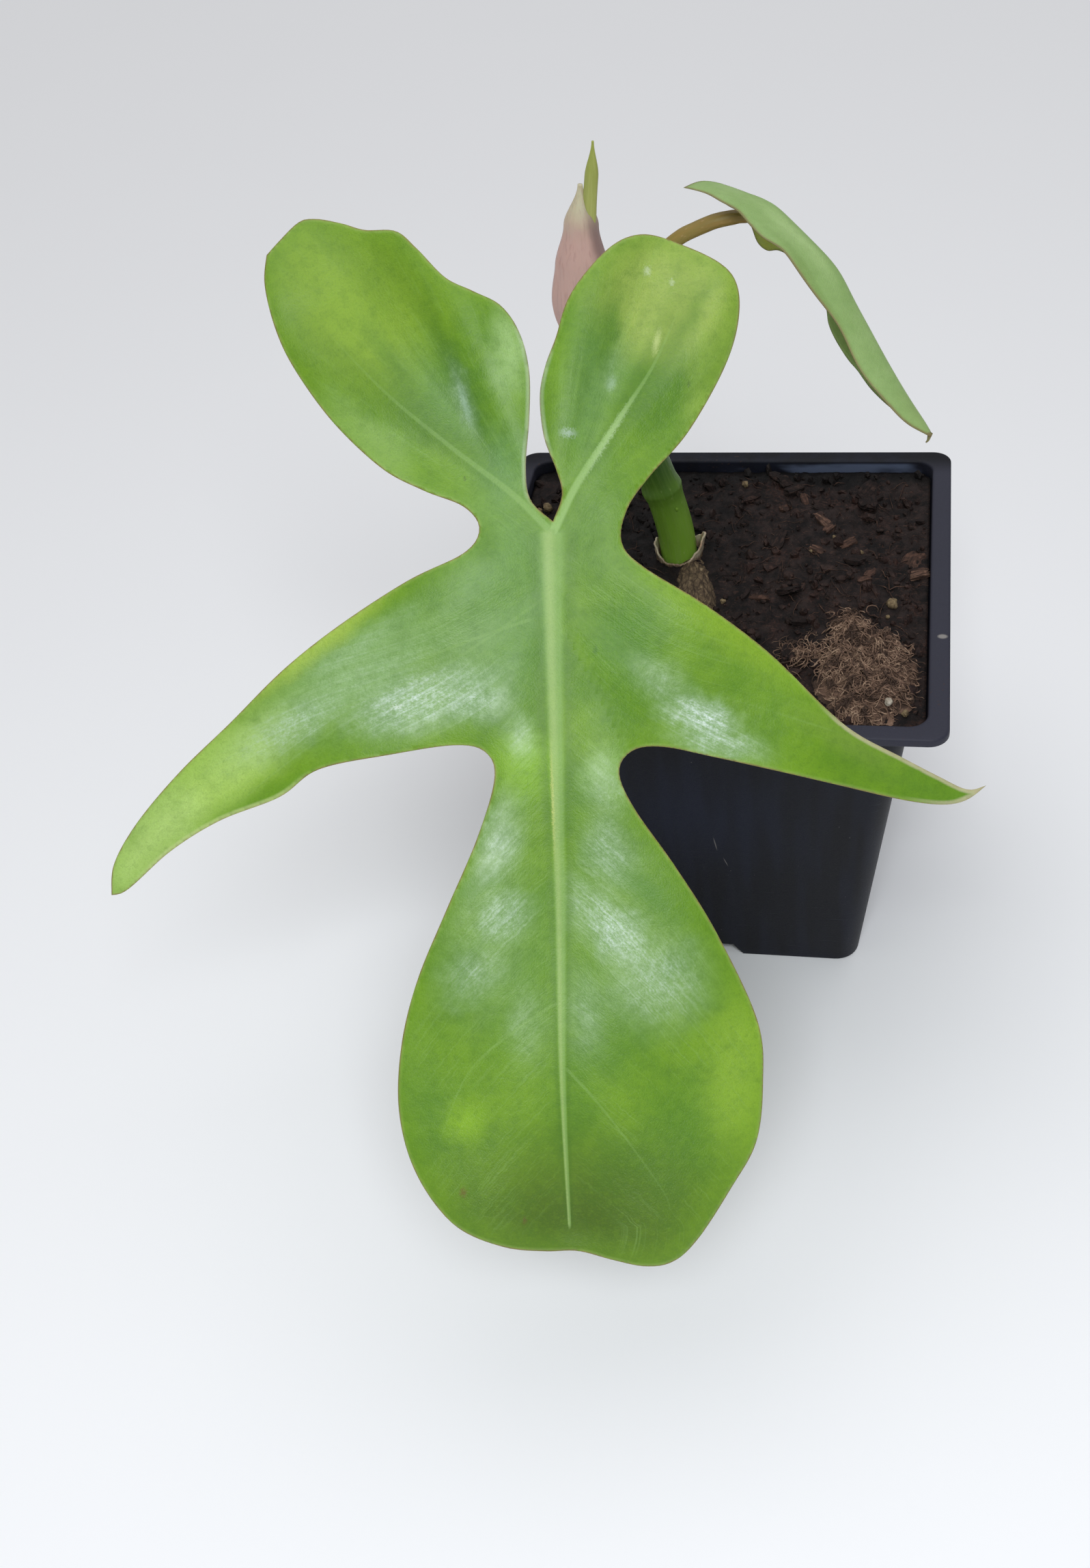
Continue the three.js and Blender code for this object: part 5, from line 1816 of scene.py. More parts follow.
@dataclass
class ShootTip:
    """The cataphyll at the shoot's top and the rolled new leaf that stands out of it."""

    half_widths: tuple[float, ...] = (3.9, 4.8, 5.2, 4.4, 2.9, 0.4)
    leaf_half_widths: tuple[float, ...] = (0.8, 1.15, 1.1, 0.2)
    depth: float = 0.8
    fold_at: float = 5.6
    ridge_at: float = 3.4
    roll_at: float = 4.4

    def wrap(self, share: float, turn: float) -> float:
        """Radius of the cataphyll before it is pressed flat, with a fold and a ridge.

        Args:
            share: Place along it from 0 to 1.
            turn: Place round it in radians.

        Returns:
            The radius there.
        """
        radius = read_off(self.half_widths, share)
        past = seam(turn, self.fold_at)
        fold = 0.35 * eased(past, 0.0, 0.25) if past < 1.2 else 0.0
        ridge = 0.2 * bell(seam(turn, self.ridge_at), 0.0, 0.3)
        raised = (fold * bell(share, 0.45, 0.4) + ridge) * min(1.0, radius / 3)
        return radius + raised + 0.03 * math.cos(15 * turn)

    def roll(self, share: float, turn: float) -> float:
        """Radius of the new leaf before it is pressed flat, with the free edge of its roll.

        Args:
            share: Place along it from 0 to 1.
            turn: Place round it in radians.

        Returns:
            The radius there.
        """
        past = seam(turn, self.roll_at + 2.2 * share)
        free_edge = 1 + 0.16 * eased(past, -0.1, 0.1) * eased(past, 2.8, 0.4)
        return read_off(self.leaf_half_widths, share) * free_edge * (1 + 0.04 * math.cos(5 * turn))

    def pressed(self, line: Points, step: float, reach: Reach, sides: int, y: float) -> Mesh:
        """Makes a tube and presses it flatter towards a plane of constant y.

        Args:
            line: The points that it runs through.
            step: Length of its faces.
            reach: Its radius before it is pressed.
            sides: Faces round it.
            y: Where the plane is.

        Returns:
            The pressed tube.
        """
        bm = tube(smooth_line(line, step), reach, sides)
        bmesh.ops.scale(bm, vec=(1, self.depth, 1), space=Matrix.Translation((0, -y, 0)), verts=bm.verts)
        return bm

    def build(self) -> None:
        """Makes the cataphyll and the new leaf."""
        bm = self.pressed(CATAPHYLL_LINE, 0.35, self.wrap, 72, 12.2)
        Piece("cataphyll_sheath", Slot.CATAPHYLL, CataphyllSkin(), ("cataphyll",)).place(bm)
        bm = self.pressed(NEW_LEAF_LINE, 0.2, self.roll, 32, 11.7)
        olive = Stalk("new leaf skin", (176, 178, 100), (150, 158, 72), (190, 190, 120), (120, 124, 60), 19.0,
                      rough=0.4, streaks=0.45, flecks=0.1, grooves=0.06, clear=0.2)
        Piece("rolled_new_leaf", Slot.NEW_LEAF, olive, ("new_leaf",)).place(bm)


# Leaves

LEAF_1_OUTLINE = (
    ((0.1, 2.1), (-3.1, 5.2), (-3.8, 9.8), (-3.3, 16.7), (-3.3, 23.8), (-4.7, 29.6), (-7.4, 33.5),
     (-11.3, 35.3), (-15.4, 37.4), (-19.7, 42.2), (-22.9, 45.2), (-27.7, 46.1), (-31.3, 47.5), (-35.5, 48.6),
     (-38.3, 47.9), (-42.4, 42.8)),
    ((-42.4, 42.8), (-42.5, 37.9), (-40.7, 30.9), (-37.6, 24.8), (-31.8, 16.9), (-24.7, 10), (-18.6, 6.7),
     (-12.8, 4.3), (-10.5, 1), (-12.7, -2.6), (-20.9, -6.5), (-30.5, -12.3), (-38.9, -18.6), (-47.4, -26.3),
     (-55.7, -33.7), (-63.8, -42.4), (-67.4, -48.2), (-67.8, -52.9)),
    ((-67.8, -52.9), (-65.1, -52), (-58.1, -46.2), (-49.7, -41.3), (-40.1, -37.7), (-34.1, -33.7),
     (-23.7, -31.6), (-14.1, -30.2), (-9.6, -31.2), (-8.3, -35), (-10.8, -43.6), (-15.3, -54.1),
     (-19.5, -64.2), (-21.9, -73.8), (-22.3, -83.7), (-19.9, -92.6), (-14.5, -99.9), (-7.5, -103.3),
     (-1.1, -104.4), (3.9, -104.5), (8.9, -105.6), (13.8, -106.5), (17.8, -105.8), (21.4, -102.5),
     (26.3, -95.2), (30, -88.5), (30.9, -79.7), (30, -70.3), (23.8, -57.3), (17.7, -47.6), (11.7, -39.1),
     (9.6, -34), (11.5, -31), (15.9, -30.4), (23.7, -31.9), (42.6, -36), (53, -38.2), (59.4, -38.9),
     (63.3, -38.2), (66.4, -36)),
    ((66.4, -36), (63.4, -36.6), (58.9, -34.7), (52.5, -31.7), (45.4, -28.4), (40.3, -24.7), (31.5, -16.6),
     (22.4, -10.2), (13.3, -4.7), (10, -1.1), (10.8, 3.8), (14.1, 8.7), (19.7, 15.3), (25.2, 25.1),
     (27.3, 32.4), (26.6, 37.9), (22.4, 41.6), (15.9, 44.5), (11.4, 44.1), (7.1, 40.9), (2.5, 34.9),
     (0.5, 28.8), (-1, 24.7), (-1.8, 20.2), (-1.2, 14.2), (0.6, 9.4), (1.4, 5.9), (0.1, 2.1)),
)
LEAF_2_OUTLINE = (
    ((0, 0.4), (-1.7, 2.3), (-2.4, 4.9), (-3, 7.3), (-4.3, 8.2), (-6.3, 8), (-9.3, 7.1)),
    ((-9.3, 7.1), (-8.7, 4.4), (-8.8, 1.4), (-8.1, -1.4), (-8.5, -4.4), (-9, -8.1), (-8.1, -11.4),
     (-7.9, -15.3), (-7.3, -20.5), (-6.9, -28), (-6.8, -33), (-6.6, -38), (-5.9, -42.4), (-4.4, -46.6),
     (-1.6, -50)),
    ((-1.6, -50), (1.8, -46.6), (4.2, -43.4), (5.9, -40), (6.9, -36.4), (8.1, -31.4), (9.2, -28.4),
     (9.5, -26), (9.2, -23.3), (8.4, -20.9), (7, -18.8), (6.3, -15), (6.1, -10), (6.8, -5.8), (8.5, -3.6),
     (8.5, -1.2), (6.4, 1.4), (5.3, 3.6), (5, 5.6), (4.1, 8.1)),
    ((4.1, 8.1), (2.7, 7), (2, 4.8), (1.4, 2.4), (0, 0.4)),
)


@dataclass(frozen=True)
class Rib:
    """A vein: its line, its half width and strength at both ends, and the run of its side veins."""

    line: Points
    start: float
    end: float
    shown: Pair = (1.0, 1.0)
    run: float = 1.0
    lean: float = 1.0
    curve: float = 0.0
    quilt: float = 0.05


@dataclass(frozen=True)
class RibPlace:
    """Where points lie beside a rib, and the rib's half width and strength there."""

    distance: Array
    along: Array
    across: Array
    width: Array
    shown: Array


def closest(points: Array, line: Array) -> tuple[Array, Array]:
    """Finds the point of a line that is closest to each of many places.

    Args:
        points: The places, one to a row.
        line: Points of the line, one to a row.

    Returns:
        The numbers of the closest points in the line, and the distances to them.
    """
    numbers, squares = [], []
    for block in np.array_split(points, max(1, len(points) // 2000)):
        table = ((block[:, None, :] - line[None]) ** 2).sum(axis=2)
        numbers.append(table.argmin(axis=1))
        squares.append(table.min(axis=1))
    return np.concatenate(numbers), np.sqrt(np.concatenate(squares))


def beside_rib(rib: Rib, points: Array) -> RibPlace:
    """Measures points against a rib.

    Args:
        rib: The rib.
        points: Places in the blade's plane, one to a row.

    Returns:
        Their measures.
    """
    step = 0.5
    line = smooth_line(rib.line, step, 0.0)
    ahead = np.gradient(line, axis=0)
    ahead /= np.linalg.norm(ahead, axis=1, keepdims=True)
    nearest, reach = closest(points, line)
    offset = points - line[nearest]
    square = ahead[nearest, 0] * offset[:, 1] - ahead[nearest, 1] * offset[:, 0]
    onward = (offset * ahead[nearest]).sum(axis=1)
    ends = ((nearest == 0) & (onward < 0)) | ((nearest == len(line) - 1) & (onward > 0))
    across = np.where(ends, np.copysign(reach, square), square)
    share = nearest / (len(line) - 1)
    width = rib.start + (rib.end - rib.start) * share**0.7
    shown = np.where(ends, 0.0, rib.shown[0] + (rib.shown[1] - rib.shown[0]) * share)
    return RibPlace(np.abs(across), nearest * step, across, width, shown)


@dataclass
class Leaf:
    """A leaf blade: a thin sheet inside its outline, with ribs that stand out below."""

    name: str
    node: str
    slot: Slot
    skin: BladeSkin
    outline: tuple[Points, ...]
    ribs: tuple[Rib, ...]
    height: Callable[[Array, Array, Array], Array]
    position: Triple
    turns: Triple
    cell: float
    veins: tuple[Rib, ...] = ()
    thickness: float = 0.45
    rib: float = 1.7
    rib_reach: float = 1.7
    ridge: float = 0.3
    quilting: float = 6.5
    hook: Pair | None = None
    hook_radii: Pair = (0.42, 0.12)
    hook_line: Points = ((0, 0, 0), (-0.1, 0, -0.5), (-0.3, 0, -1.3), (-0.6, 0, -1.7))

    def edge_line(self, step: float) -> Array:
        """Points of the margin, in order."""
        return np.vstack([smooth_line(stretch, step, 0.0)[1:] for stretch in self.outline])

    def sheet(self) -> Mesh:
        """Cuts a flat sheet in the outline into small cells, and sets it over another with a wall between.

        Returns:
            The closed sheet, 0 to 1 high.
        """
        bm = bmesh.new()
        edge = self.edge_line(self.cell)
        bm.faces.new([bm.verts.new((x, y, 0.0)) for x, y in edge])
        for axis in (1, 0):
            low, high = edge[:, axis].min(), edge[:, axis].max()
            normal = Vector((axis == 0, axis == 1, 0))
            for place in np.arange(low + 0.5 * self.cell, high, self.cell):
                geom = [*bm.verts, *bm.edges, *bm.faces]
                bmesh.ops.bisect_plane(bm, geom=geom, dist=MERGE, plane_co=normal * place, plane_no=normal)
        made = bmesh.ops.extrude_face_region(bm, geom=list(bm.faces), use_keep_orig=True)
        for vert in made_parts(made, bmesh.types.BMVert):
            vert.co.z = 1.0
        return bm

    def hook_radius(self, share: float, _: float) -> float:
        """Radius of the hook at the tip, which narrows evenly."""
        return self.hook_radii[0] + (self.hook_radii[1] - self.hook_radii[0]) * share

    def build(self) -> None:
        """Makes the blade and replaces its CAD node."""
        bm = self.sheet()
        flat = np.array([vert.co[:] for vert in bm.verts])
        places, upper = flat[:, :2], flat[:, 2] > 0.5
        ribs, veins = ([beside_rib(rib, places) for rib in kind] for kind in (self.ribs, self.veins))
        distances = np.array([rib.distance for rib in ribs])
        nearest, second = np.sort(distances, axis=0)[:2]
        _, margin = closest(places, self.edge_line(0.5 * self.cell))
        calm = np.clip((second - nearest) / 2.5, 0, 1) * np.clip((margin - 0.3) / 2.5, 0, 1)
        calm *= np.clip(nearest / 2.0 - 0.3, 0, 1)
        course, quilted = np.zeros(len(places)), np.zeros(len(places))
        which = distances.argmin(axis=0)
        for k, (rib, seen) in enumerate(zip(self.ribs, ribs)):
            calm *= np.clip(np.hypot(*(places - rib.line[-1]).T) / 9.0 - 0.1, 0, 1)
            path = rib.run * seen.along - rib.lean * seen.distance - rib.curve * seen.distance**2
            course = np.where(which == k, path + 3 * (seen.across > 0), course)
            quilted = np.where(which == k, rib.quilt, quilted)
        core = np.min([rib.distance / rib.width for rib in ribs], axis=0)
        ridge = self.ridge * np.exp(-(core**2)) * np.clip(ribs[0].width, 0.3, 1)
        quilt = quilted * np.sin(2 * np.pi * course / self.quilting) * calm * np.clip(nearest / 6, 0, 1)
        top = self.height(*places.T, nearest) + ridge + quilt - 0.25 * np.exp(-margin / 0.9)
        thick = self.thickness * (0.45 + 0.55 * np.clip(margin / 1.2, 0, 1))
        stem = self.rib * np.exp(-((nearest / self.rib_reach) ** 2)) * np.clip(margin, 0, 1)
        bottom = top - ridge - thick - stem
        vectors = {
            "leaf": (*places.T, margin),
            "vein": (course, nearest, calm),
            "fan": (12 * np.arctan2(places[:, 1], places[:, 0]), np.hypot(*places.T), ~upper),
        }
        for k, seen in enumerate([*ribs, *veins]):
            vectors[f"rib{k}"] = (seen.across / seen.width, seen.shown, np.zeros(len(places)))
        layers = [bm.verts.layers.float_vector.new(name) for name in vectors]
        tables = [np.column_stack(columns) for columns in vectors.values()]
        yaw, tilt, spin = (math.radians(turn) for turn in self.turns)
        turned = Matrix.Rotation(yaw, 4, "Z") @ Matrix.Rotation(tilt, 4, "X") @ Matrix.Rotation(spin, 4, "Z")
        matrix = Matrix.Translation(self.position) @ turned
        for k, (vert, height) in enumerate(zip(bm.verts, np.where(upper, top, bottom))):
            for layer, table in zip(layers, tables):
                vert[layer] = Vector(table[k])
            vert.co = matrix @ Vector((*places[k], height))
        if self.hook:
            at = np.array([self.hook])
            height = self.height(*at.T, np.full(1, 2.0))[0] - 0.2
            start = np.array(matrix @ Vector((*self.hook, height)))
            taken_in(bm, tube(smooth_line(start + np.array(self.hook_line), 0.1), self.hook_radius, 12))
        outward(bm)
        Piece(self.name, self.slot, self.skin, (self.node,)).place(bm)


def umbrella(x: Array, y: Array, rib: Array) -> Array:
    """Height of the large blade: it falls away round the petiole's end and rises from its ribs.

    Args:
        x: Places across the blade.
        y: Places along it, 0 at the petiole's end.
        rib: Distances to the nearest rib.

    Returns:
        The heights.
    """
    fade = np.clip((y - 3) / 17, 0, 1)
    pleats = 0.028 * np.hypot(x, y) * fade * fade * (3 - 2 * fade) * np.cos(13 * np.arctan2(y, x))
    shoulder = 1.5 * (1 - np.exp(-((rib / 6) ** 2)))
    wave = 0.7 * np.sin(0.19 * x + 1) * np.sin(0.14 * y)
    return 0.52 - 0.0038 * x * x - (y + 25) ** 2 / 1200 + shoulder + wave + pleats


def folded(x: Array, y: Array, _: Array) -> Array:
    """Height of the young blade: folded down along its midrib and arched from end to end.

    Args:
        x: Places across the blade.
        y: Places along it, 0 at the petiole's end.
        _: Distances to the nearest rib, which this blade's form doesn't follow.

    Returns:
        The heights.
    """
    fold = 0.75 * (np.hypot(x, 2) - 2)
    crest = 0.5 * np.exp(-(((y + 17) / 5) ** 2)) + 0.35 * np.exp(-(((y + 1) / 4) ** 2))
    wave = 0.25 * np.sin(0.42 * y + 0.5) * np.clip(np.abs(x) / 8, 0, 1)
    arch = 0.8 - 0.377 * y - 0.0152 * y**2 - 0.000163 * y**3
    return arch - fold + crest * np.exp(-((x / 4) ** 2)) + wave


LEAF_1_SKIN = BladeSkin(
    "large blade skin", base=(90, 136, 10), fresh=(114, 156, 18), deep=(66, 110, 8), under=(118, 150, 74),
    rib=(144, 182, 98), margin=(158, 182, 92), edge=(140, 112, 70), ribs=8,
    patches=tuple(Patch(*row) for row in (
        ((-7, -6), (13, 24), (112, 154, 76), 0.85, 0, 0.7), ((7, -1), (8, 11), (102, 144, 50), 0.85, 0, 0.7),
        # The dark patch at (-10, -1) is painted shade where the blade curls beside the sinus.
        ((11, -15), (8, 10), (84, 134, 4), 1.0, 0, 0.8), ((-10, -1), (3, 5), (78, 124, 34), 0.7),
        ((-4, -33), (7, 8), (128, 176, 4), 1.0, 0, 0.8), ((8, -34), (6, 6), (140, 182, 84), 0.7),
        ((27, -13), (20, 6), (142, 178, 42), 0.9, -36, 0.8), ((44, -29), (14, 4), (120, 152, 54), 0.75, -28),
        # The dark band at (52, -35) is painted shade under the rolled margin of the right lateral lobe.
        ((52, -35), (12, 2), (96, 140, 24), 0.6, -15), ((-30, -20), (24, 7), (128, 168, 84), 0.8, 28, 0.7),
        ((-36, -15), (25, 4.2), (182, 206, 84), 0.95, 36, 0.7),
        ((-50, -34), (19, 9), (178, 212, 102), 0.9, 38, 0.7),
        ((-62, -45), (15, 11), (188, 220, 124), 0.95, 38, 0.6),
        # The dark line at (-8, -19) is painted shade in a crease of the left lateral lobe.
        ((-8, -19), (11, 1.6), (96, 140, 54), 0.6, 22), ((-40, -36.5), (13, 2.2), (96, 142, 26), 0.7, 26),
        ((-30, 36), (22, 16), (136, 170, 40), 0.9, -50, 0.6),
        ((-28, 15), (14, 5), (138, 174, 84), 0.85, -45, 0.7), ((-14, 19), (16, 7), (100, 144, 62), 0.7, -55),
        # The pale patch at (-6, 27) is painted sheen on the left basal lobe.
        ((-6, 11), (7, 9), (116, 158, 98), 0.8), ((-6, 27), (4.5, 12), (176, 210, 140), 0.95, 6),
        # The dark lines at (-13, 21.5) and (-22.8, 25) are painted shade in folds of the left basal lobe.
        ((-13, 21.5), (2.8, 16), (64, 110, 22), 0.85, 24), ((-22.8, 25), (2.4, 12), (88, 130, 24), 0.7, 32),
        ((17, 36), (15, 14), (168, 190, 86), 0.95, 0, 0.6),
        ((24, 22), (6, 15), (150, 180, 76), 0.9, -15, 0.7), ((5, 20), (6, 18), (120, 160, 92), 0.8, -8),
        # The dark lines at (20, 31.5) and (8.4, 30) are painted shade in folds of the right basal lobe.
        ((17, 12), (3, 7), (96, 142, 34), 0.6, -35), ((20, 31.5), (2.8, 10), (104, 142, 38), 0.6, -27),
        ((8.4, 30), (1.7, 8), (94, 136, 44), 0.8, -12), ((-12.6, -85.2), (4.5, 4.5), (138, 182, 18), 0.9),
        ((28, -78), (9, 20), (140, 178, 40), 0.85, 0, 0.8), ((-20, -72), (5, 16), (104, 148, 26), 0.5),
        # The dark patch at the tip, (4, -100), is partly the tip's own olive colour and partly painted shade
        # where the tip curves away.
        ((0, -62), (22, 26), (110, 154, 54), 0.5), ((4, -100), (36, 20), (72, 100, 4), 0.95),
    )),
    # Brown and dark specks of the leaf's own, and pale specks that are painted glints of light on the basal
    # lobes and the left lateral lobe.
    specks_and_glints=tuple(Patch(*row) for row in (
        ((-12.9, -95.2), (0.8, 1.0), (112, 74, 40), 0.6), ((-4, -99.6), (0.5, 0.7), (104, 72, 40), 0.6),
        ((-12.6, 8.6), (0.5, 0.4), (62, 84, 36), 0.6), ((19.8, 22.3), (0.5, 0.5), (66, 92, 40), 0.6),
        ((6.2, -16.4), (0.5, 1.0), (62, 108, 26), 0.6), ((13.9, 39.2), (0.8, 1.1), (206, 218, 186), 0.5),
        ((17.5, 37.6), (0.6, 0.7), (206, 218, 186), 0.4), ((2.3, 14.7), (1.8, 1.0), (186, 206, 190), 0.6),
        ((8.6, 22.3), (1.0, 1.8), (176, 204, 174), 0.45, -15),
        ((15.2, 28.5), (0.8, 3.0), (212, 224, 150), 0.5, -12),
        ((7.6, 13.6), (0.8, 11.0), (186, 214, 158), 0.7, -32),
        ((-12.7, 19.5), (0.9, 4.5), (176, 204, 182), 0.4, 17),
        ((-22.5, -24.6), (1.4, 0.3), (226, 236, 226), 0.7, 10),
        ((0.1, -38), (0.3, 12), (214, 212, 112), 0.8, 2),
        ((12.5, -50.5), (7, 3), (86, 134, 40), 0.6, -38, 0.8),
        ((-10.5, -50), (6, 2.6), (92, 138, 48), 0.55, 35, 0.8),
    )),
    shines=tuple(Shine(*row) for row in (
        ((-19, -23.5), (19, 7), 1.0, 14), ((-38, -27), (18, 6), 0.75, 28), ((-27, -21), (27, 10), 0.42, 26),
        ((-28, -16), (18, 4), 0.45, 32), ((21.5, -26.3), (9, 5), 1.3, -18),
        ((24, -29.5), (12, 4), 0.85, -10), ((8, -36), (6, 8), 0.45, 10), ((16, -21), (8, 5), 0.45, -32),
        ((-4.5, -29), (3.5, 6), 0.5, 10), ((-8, -45), (6, 12), 0.62, -12), ((-7, -55), (7, 8), 0.72, -20),
        ((-11, -63), (10, 7), 0.58, 40), ((-9, -57), (11, 20), 0.32, -8), ((-4, -70), (5, 10), 0.4),
        ((8, -46), (6, 10), 0.6, 15), ((9, -57), (15, 6.5), 1.0, -50), ((15, -64), (12, 11), 0.75, -40),
        ((5, -69), (5, 10), 0.4), ((-12, -24), (10, 5), 0.8, 12), ((-13, 20), (2.4, 9), 0.5, 17),
        ((9, 24), (3, 8), 0.3, -20),
    )),
    hems=tuple(Patch(*row) for row in (
        ((54, -33), (20, 5), (196, 188, 150), 0.7, -24, 0.4),
        ((-50, -43), (18, 4), (206, 218, 150), 0.4, 30, 0.4),
        ((-3, 20), (4, 18), (196, 212, 186), 0.3, 0, 0.4),
    )))

LEAF_2_SKIN = BladeSkin(
    "young blade skin", base=(140, 172, 100), fresh=(152, 182, 112), deep=(124, 156, 86),
    under=(138, 164, 88), rib=(166, 192, 132), margin=(132, 138, 76), edge=(122, 100, 66), ribs=3,
    patches=tuple(Patch(*row) for row in (
        # The pale strip by the crest at (-3.4, -10) and the pale curled lobe at (-3, 5) are painted light.
        ((-3.4, -10), (2.6, 15), (176, 204, 136), 0.8),
        ((8.6, -25), (3.4, 9), (116, 146, 44), 0.9, 0, 0.6, True),
        ((7.5, -2), (5, 5.5), (192, 188, 12), 0.95, 0, 0.6, True), ((-1, -46), (6, 7), (142, 166, 92), 0.6),
        # The darker stripe at (-6.9, -19) is partly the margin's own colour, partly painted shade.
        ((-6.9, -19), (1.3, 15), (112, 142, 66), 0.75, 0, 0.7), ((-3, 5), (4, 4), (172, 196, 136), 0.6),
    )),
    specks_and_glints=(Patch((-1.6, -49.6), (1.0, 0.8), (126, 98, 70), 0.9),),
    hems=(Patch((8, -24), (3, 14), (158, 182, 110), 0.6, soft=0.5),),
    mottle=9.0, rough=0.45, fanned=0.0, pleats=0.0, warp=1.2)


def large_leaf() -> Leaf:
    """Describes the large leaf.

    Returns:
        The leaf, with its ribs and the finer veins that show on it.
    """
    ribs = (
        Rib(((0, 0.4), (0.2, -12), (0.6, -31), (1.2, -54), (1.5, -78), (2.6, -101)), 1.85, 0.26,
            shown=(0.72, 0.7), lean=0.8, curve=0.012, quilt=0.03),
        Rib(((0, 0.4), (-5.9, 6.2), (-15.8, 14), (-24.9, 21.8), (-35, 33)), 0.7, 0.1, (0.75, 0.0), 0.1),
        Rib(((0, 0.4), (3.9, 8), (9.3, 16.5), (14.6, 24.8), (18.5, 33.5)), 0.85, 0.12, (1.3, 0.1), 0.1),
        Rib(((0.1, -8), (-15, -18.4), (-32.7, -25.8), (-48.6, -35), (-62, -46.5)), 0.3, 0.12,
            shown=(0.25, 0.1), run=0.1, quilt=0.08),
        Rib(((0.1, -8), (14, -19.8), (29.1, -26.4), (44.8, -32.6), (60, -37)), 0.3, 0.12,
            shown=(0.1, 0.0), run=0.1, quilt=0.06),
    )
    veins = (
        Rib(((0.6, -67.5), (-4.4, -70.7), (-11.9, -77.3), (-16.4, -87.8)), 0.28, 0.12, (0.4, 0.1)),
        Rib(((1.9, -76.8), (7.7, -83.3), (15.7, -94.3), (17.3, -97.9)), 0.28, 0.12, (0.4, 0.1)),
        Rib(((-3, -12), (-18, -17.5), (-33, -24.5)), 0.3, 0.2, (0.35, 0.1)),
    )
    return Leaf("large_leaf", "leaf_1", Slot.BLADE, LEAF_1_SKIN, LEAF_1_OUTLINE, ribs, umbrella,
                (-13.5, -66.1, 129.6), (15.7, 47.8, -8.5), 0.8, veins)


def young_leaf() -> Leaf:
    """Describes the folded young leaf.

    Returns:
        The leaf, with its hooked tip.
    """
    ribs = (
        Rib(((0, -0.6), (0.1, -12), (0, -30), (-0.8, -47)), 0.5, 0.15, (0.5, 0.3), 1.0, 0.9, 0.02, 0.02),
        Rib(((0, -0.6), (-4.6, 0.8), (-6.6, 4.4)), 0.3, 0.1, (0.4, 0.1)),
        Rib(((0, -0.6), (3.6, 0.6), (4, 5)), 0.3, 0.1, (0.4, 0.1)),
    )
    return Leaf("young_leaf", "leaf_2", Slot.YOUNG_BLADE, LEAF_2_SKIN, LEAF_2_OUTLINE, ribs, folded,
                (10.7, 12.1, 142.8), (110.4, 59.9, -50.8), 0.5, rib=0.8, rib_reach=0.9, ridge=-0.1,
                hook=(-1.4, -49.4))


# Studio


@dataclass(frozen=True)
class Softbox:
    """An area light."""

    name: str
    at: Triple
    aim: Triple
    size: Pair
    power: float
    tint: Triple = (1.0, 1.0, 1.0)


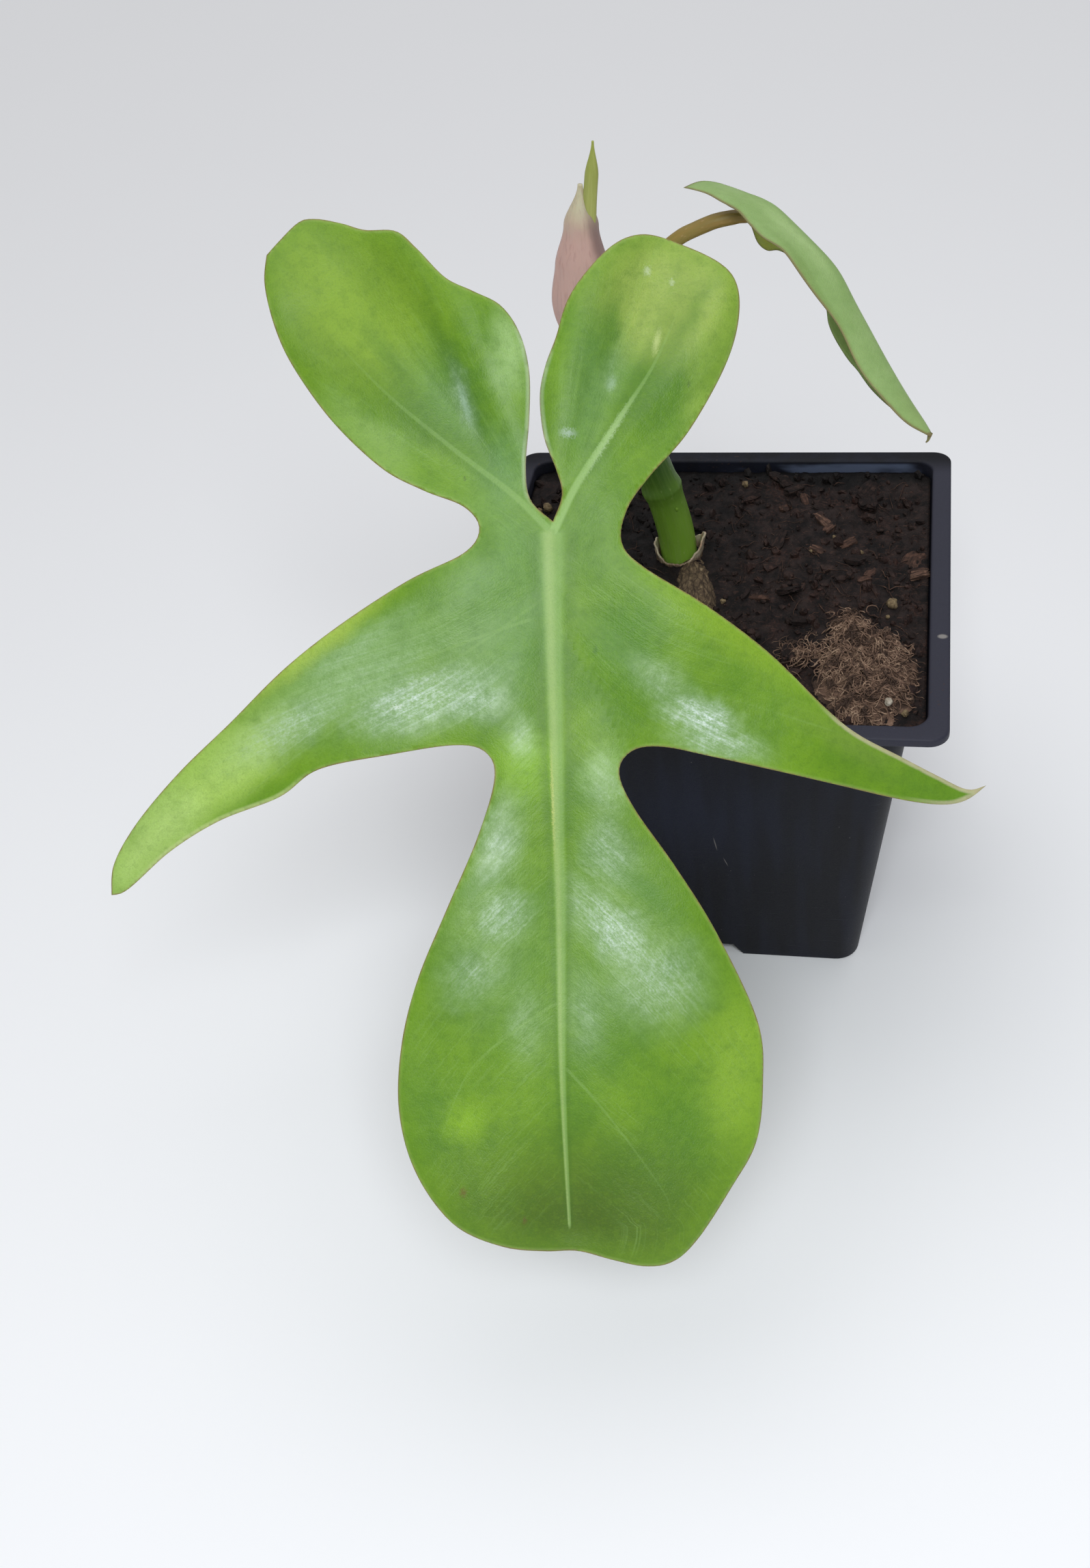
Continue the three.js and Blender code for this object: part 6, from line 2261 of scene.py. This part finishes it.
@dataclass
class Studio:
    """Plain pale floor, soft lights and the camera at the photograph's angle."""

    camera_at: Triple = (36.14, -265.96, 268.87)
    camera_right: Triple = (0.979, 0.1721, -0.1094)
    camera_up: Triple = (-0.0376, 0.6799, 0.7323)
    lens: float = 39.2
    sensor: float = 36.0
    floor_half: float = 3000.0
    boxes: tuple[Softbox, ...] = (
        Softbox("key", (80, -440, 520), (-10, -90, 105), (220, 160), 2.0, (0.92, 0.96, 1.0)),
        Softbox("sky", (-200, 700, 2300), (0, 200, 0), (3200, 3200), 34.0),
    )
    air: tuple[float, ...] = (0.93, 0.95, 1.0, 1.0)
    air_strength: float = 0.25

    def camera(self) -> None:
        """Sets up the camera."""
        data = bpy.data.cameras.new("camera")
        data.lens, data.sensor_width, data.sensor_fit = self.lens, self.sensor, "AUTO"
        data.clip_start, data.clip_end = 0.01, 20.0
        right, up = Vector(self.camera_right).normalized(), Vector(self.camera_up)
        back = right.cross(up).normalized()
        up = back.cross(right)
        camera = put("camera", data)
        turned = Matrix((right, up, back)).transposed().to_4x4()
        camera.matrix_world = Matrix.Translation(Vector(self.camera_at) * MM) @ turned
        bpy.context.scene.camera = camera

    def light(self, box: Softbox) -> None:
        """Hangs one softbox.

        Args:
            box: The softbox.
        """
        data = bpy.data.lights.new(box.name, "AREA")
        data.shape, data.energy, data.color = "RECTANGLE", box.power, box.tint
        data.size, data.size_y = (side * MM for side in box.size)
        lamp = put(box.name, data)
        lamp.location = Vector(box.at) * MM
        lamp.rotation_euler = (Vector(box.aim) - Vector(box.at)).to_track_quat("-Z", "Y").to_euler()

    def floor(self) -> None:
        """Lays the floor."""
        bm = bmesh.new()
        bmesh.ops.create_grid(bm, x_segments=1, y_segments=1, size=self.floor_half)
        mesh = as_mesh(bm, "floor")
        mesh.materials.append(PaleFloor().material())
        ground = put("floor", mesh)

    def build(self) -> None:
        """Sets up the studio."""
        self.floor()
        self.camera()
        for box in self.boxes:
            self.light(box)
        world = bpy.data.worlds.new("studio")
        world.use_nodes = True
        colour, strength = world.node_tree.nodes["Background"].inputs[:2]
        colour.default_value, strength.default_value = self.air, self.air_strength
        scene = bpy.context.scene
        scene.world = world
        scene.view_settings.view_transform = "Standard"
        scene.view_settings.look = "None"


def petioles() -> list[Petiole]:
    """Describes the two petioles.

    Returns:
        The petioles of the large and of the young leaf.
    """
    old = Stalk("large petiole skin", (108, 116, 50), (134, 112, 60), (150, 104, 58), (188, 168, 118), 98.0)
    young = Stalk("young petiole skin", (128, 132, 58), (146, 114, 58), (166, 122, 62), (196, 160, 112), 60.0)
    return [
        Petiole("large_petiole", "petiole_1", PETIOLE_1_LINE, 3.6, 2.3, 2.1, old, 0.94),
        Petiole("young_petiole", "petiole_2", PETIOLE_2_LINE, 2.6, 1.3, 1.15, young),
    ]


def main() -> None:
    """Builds the plant in its pot around the frame, and the studio round it."""
    logging.basicConfig(level=logging.INFO, format="%(name)s: %(message)s", stream=sys.stdout)
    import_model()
    pot = NurseryPot()
    tuft = Tuft()
    mix = PottingMix(pot, tuft)
    assemblies = [pot, mix, CoirTuft(tuft, mix), Stems(), *petioles(), ShootTip(), large_leaf(), young_leaf()]
    for assembly in [*assemblies, Studio()]:
        assembly.build()


if __name__ == "__main__":
    main()
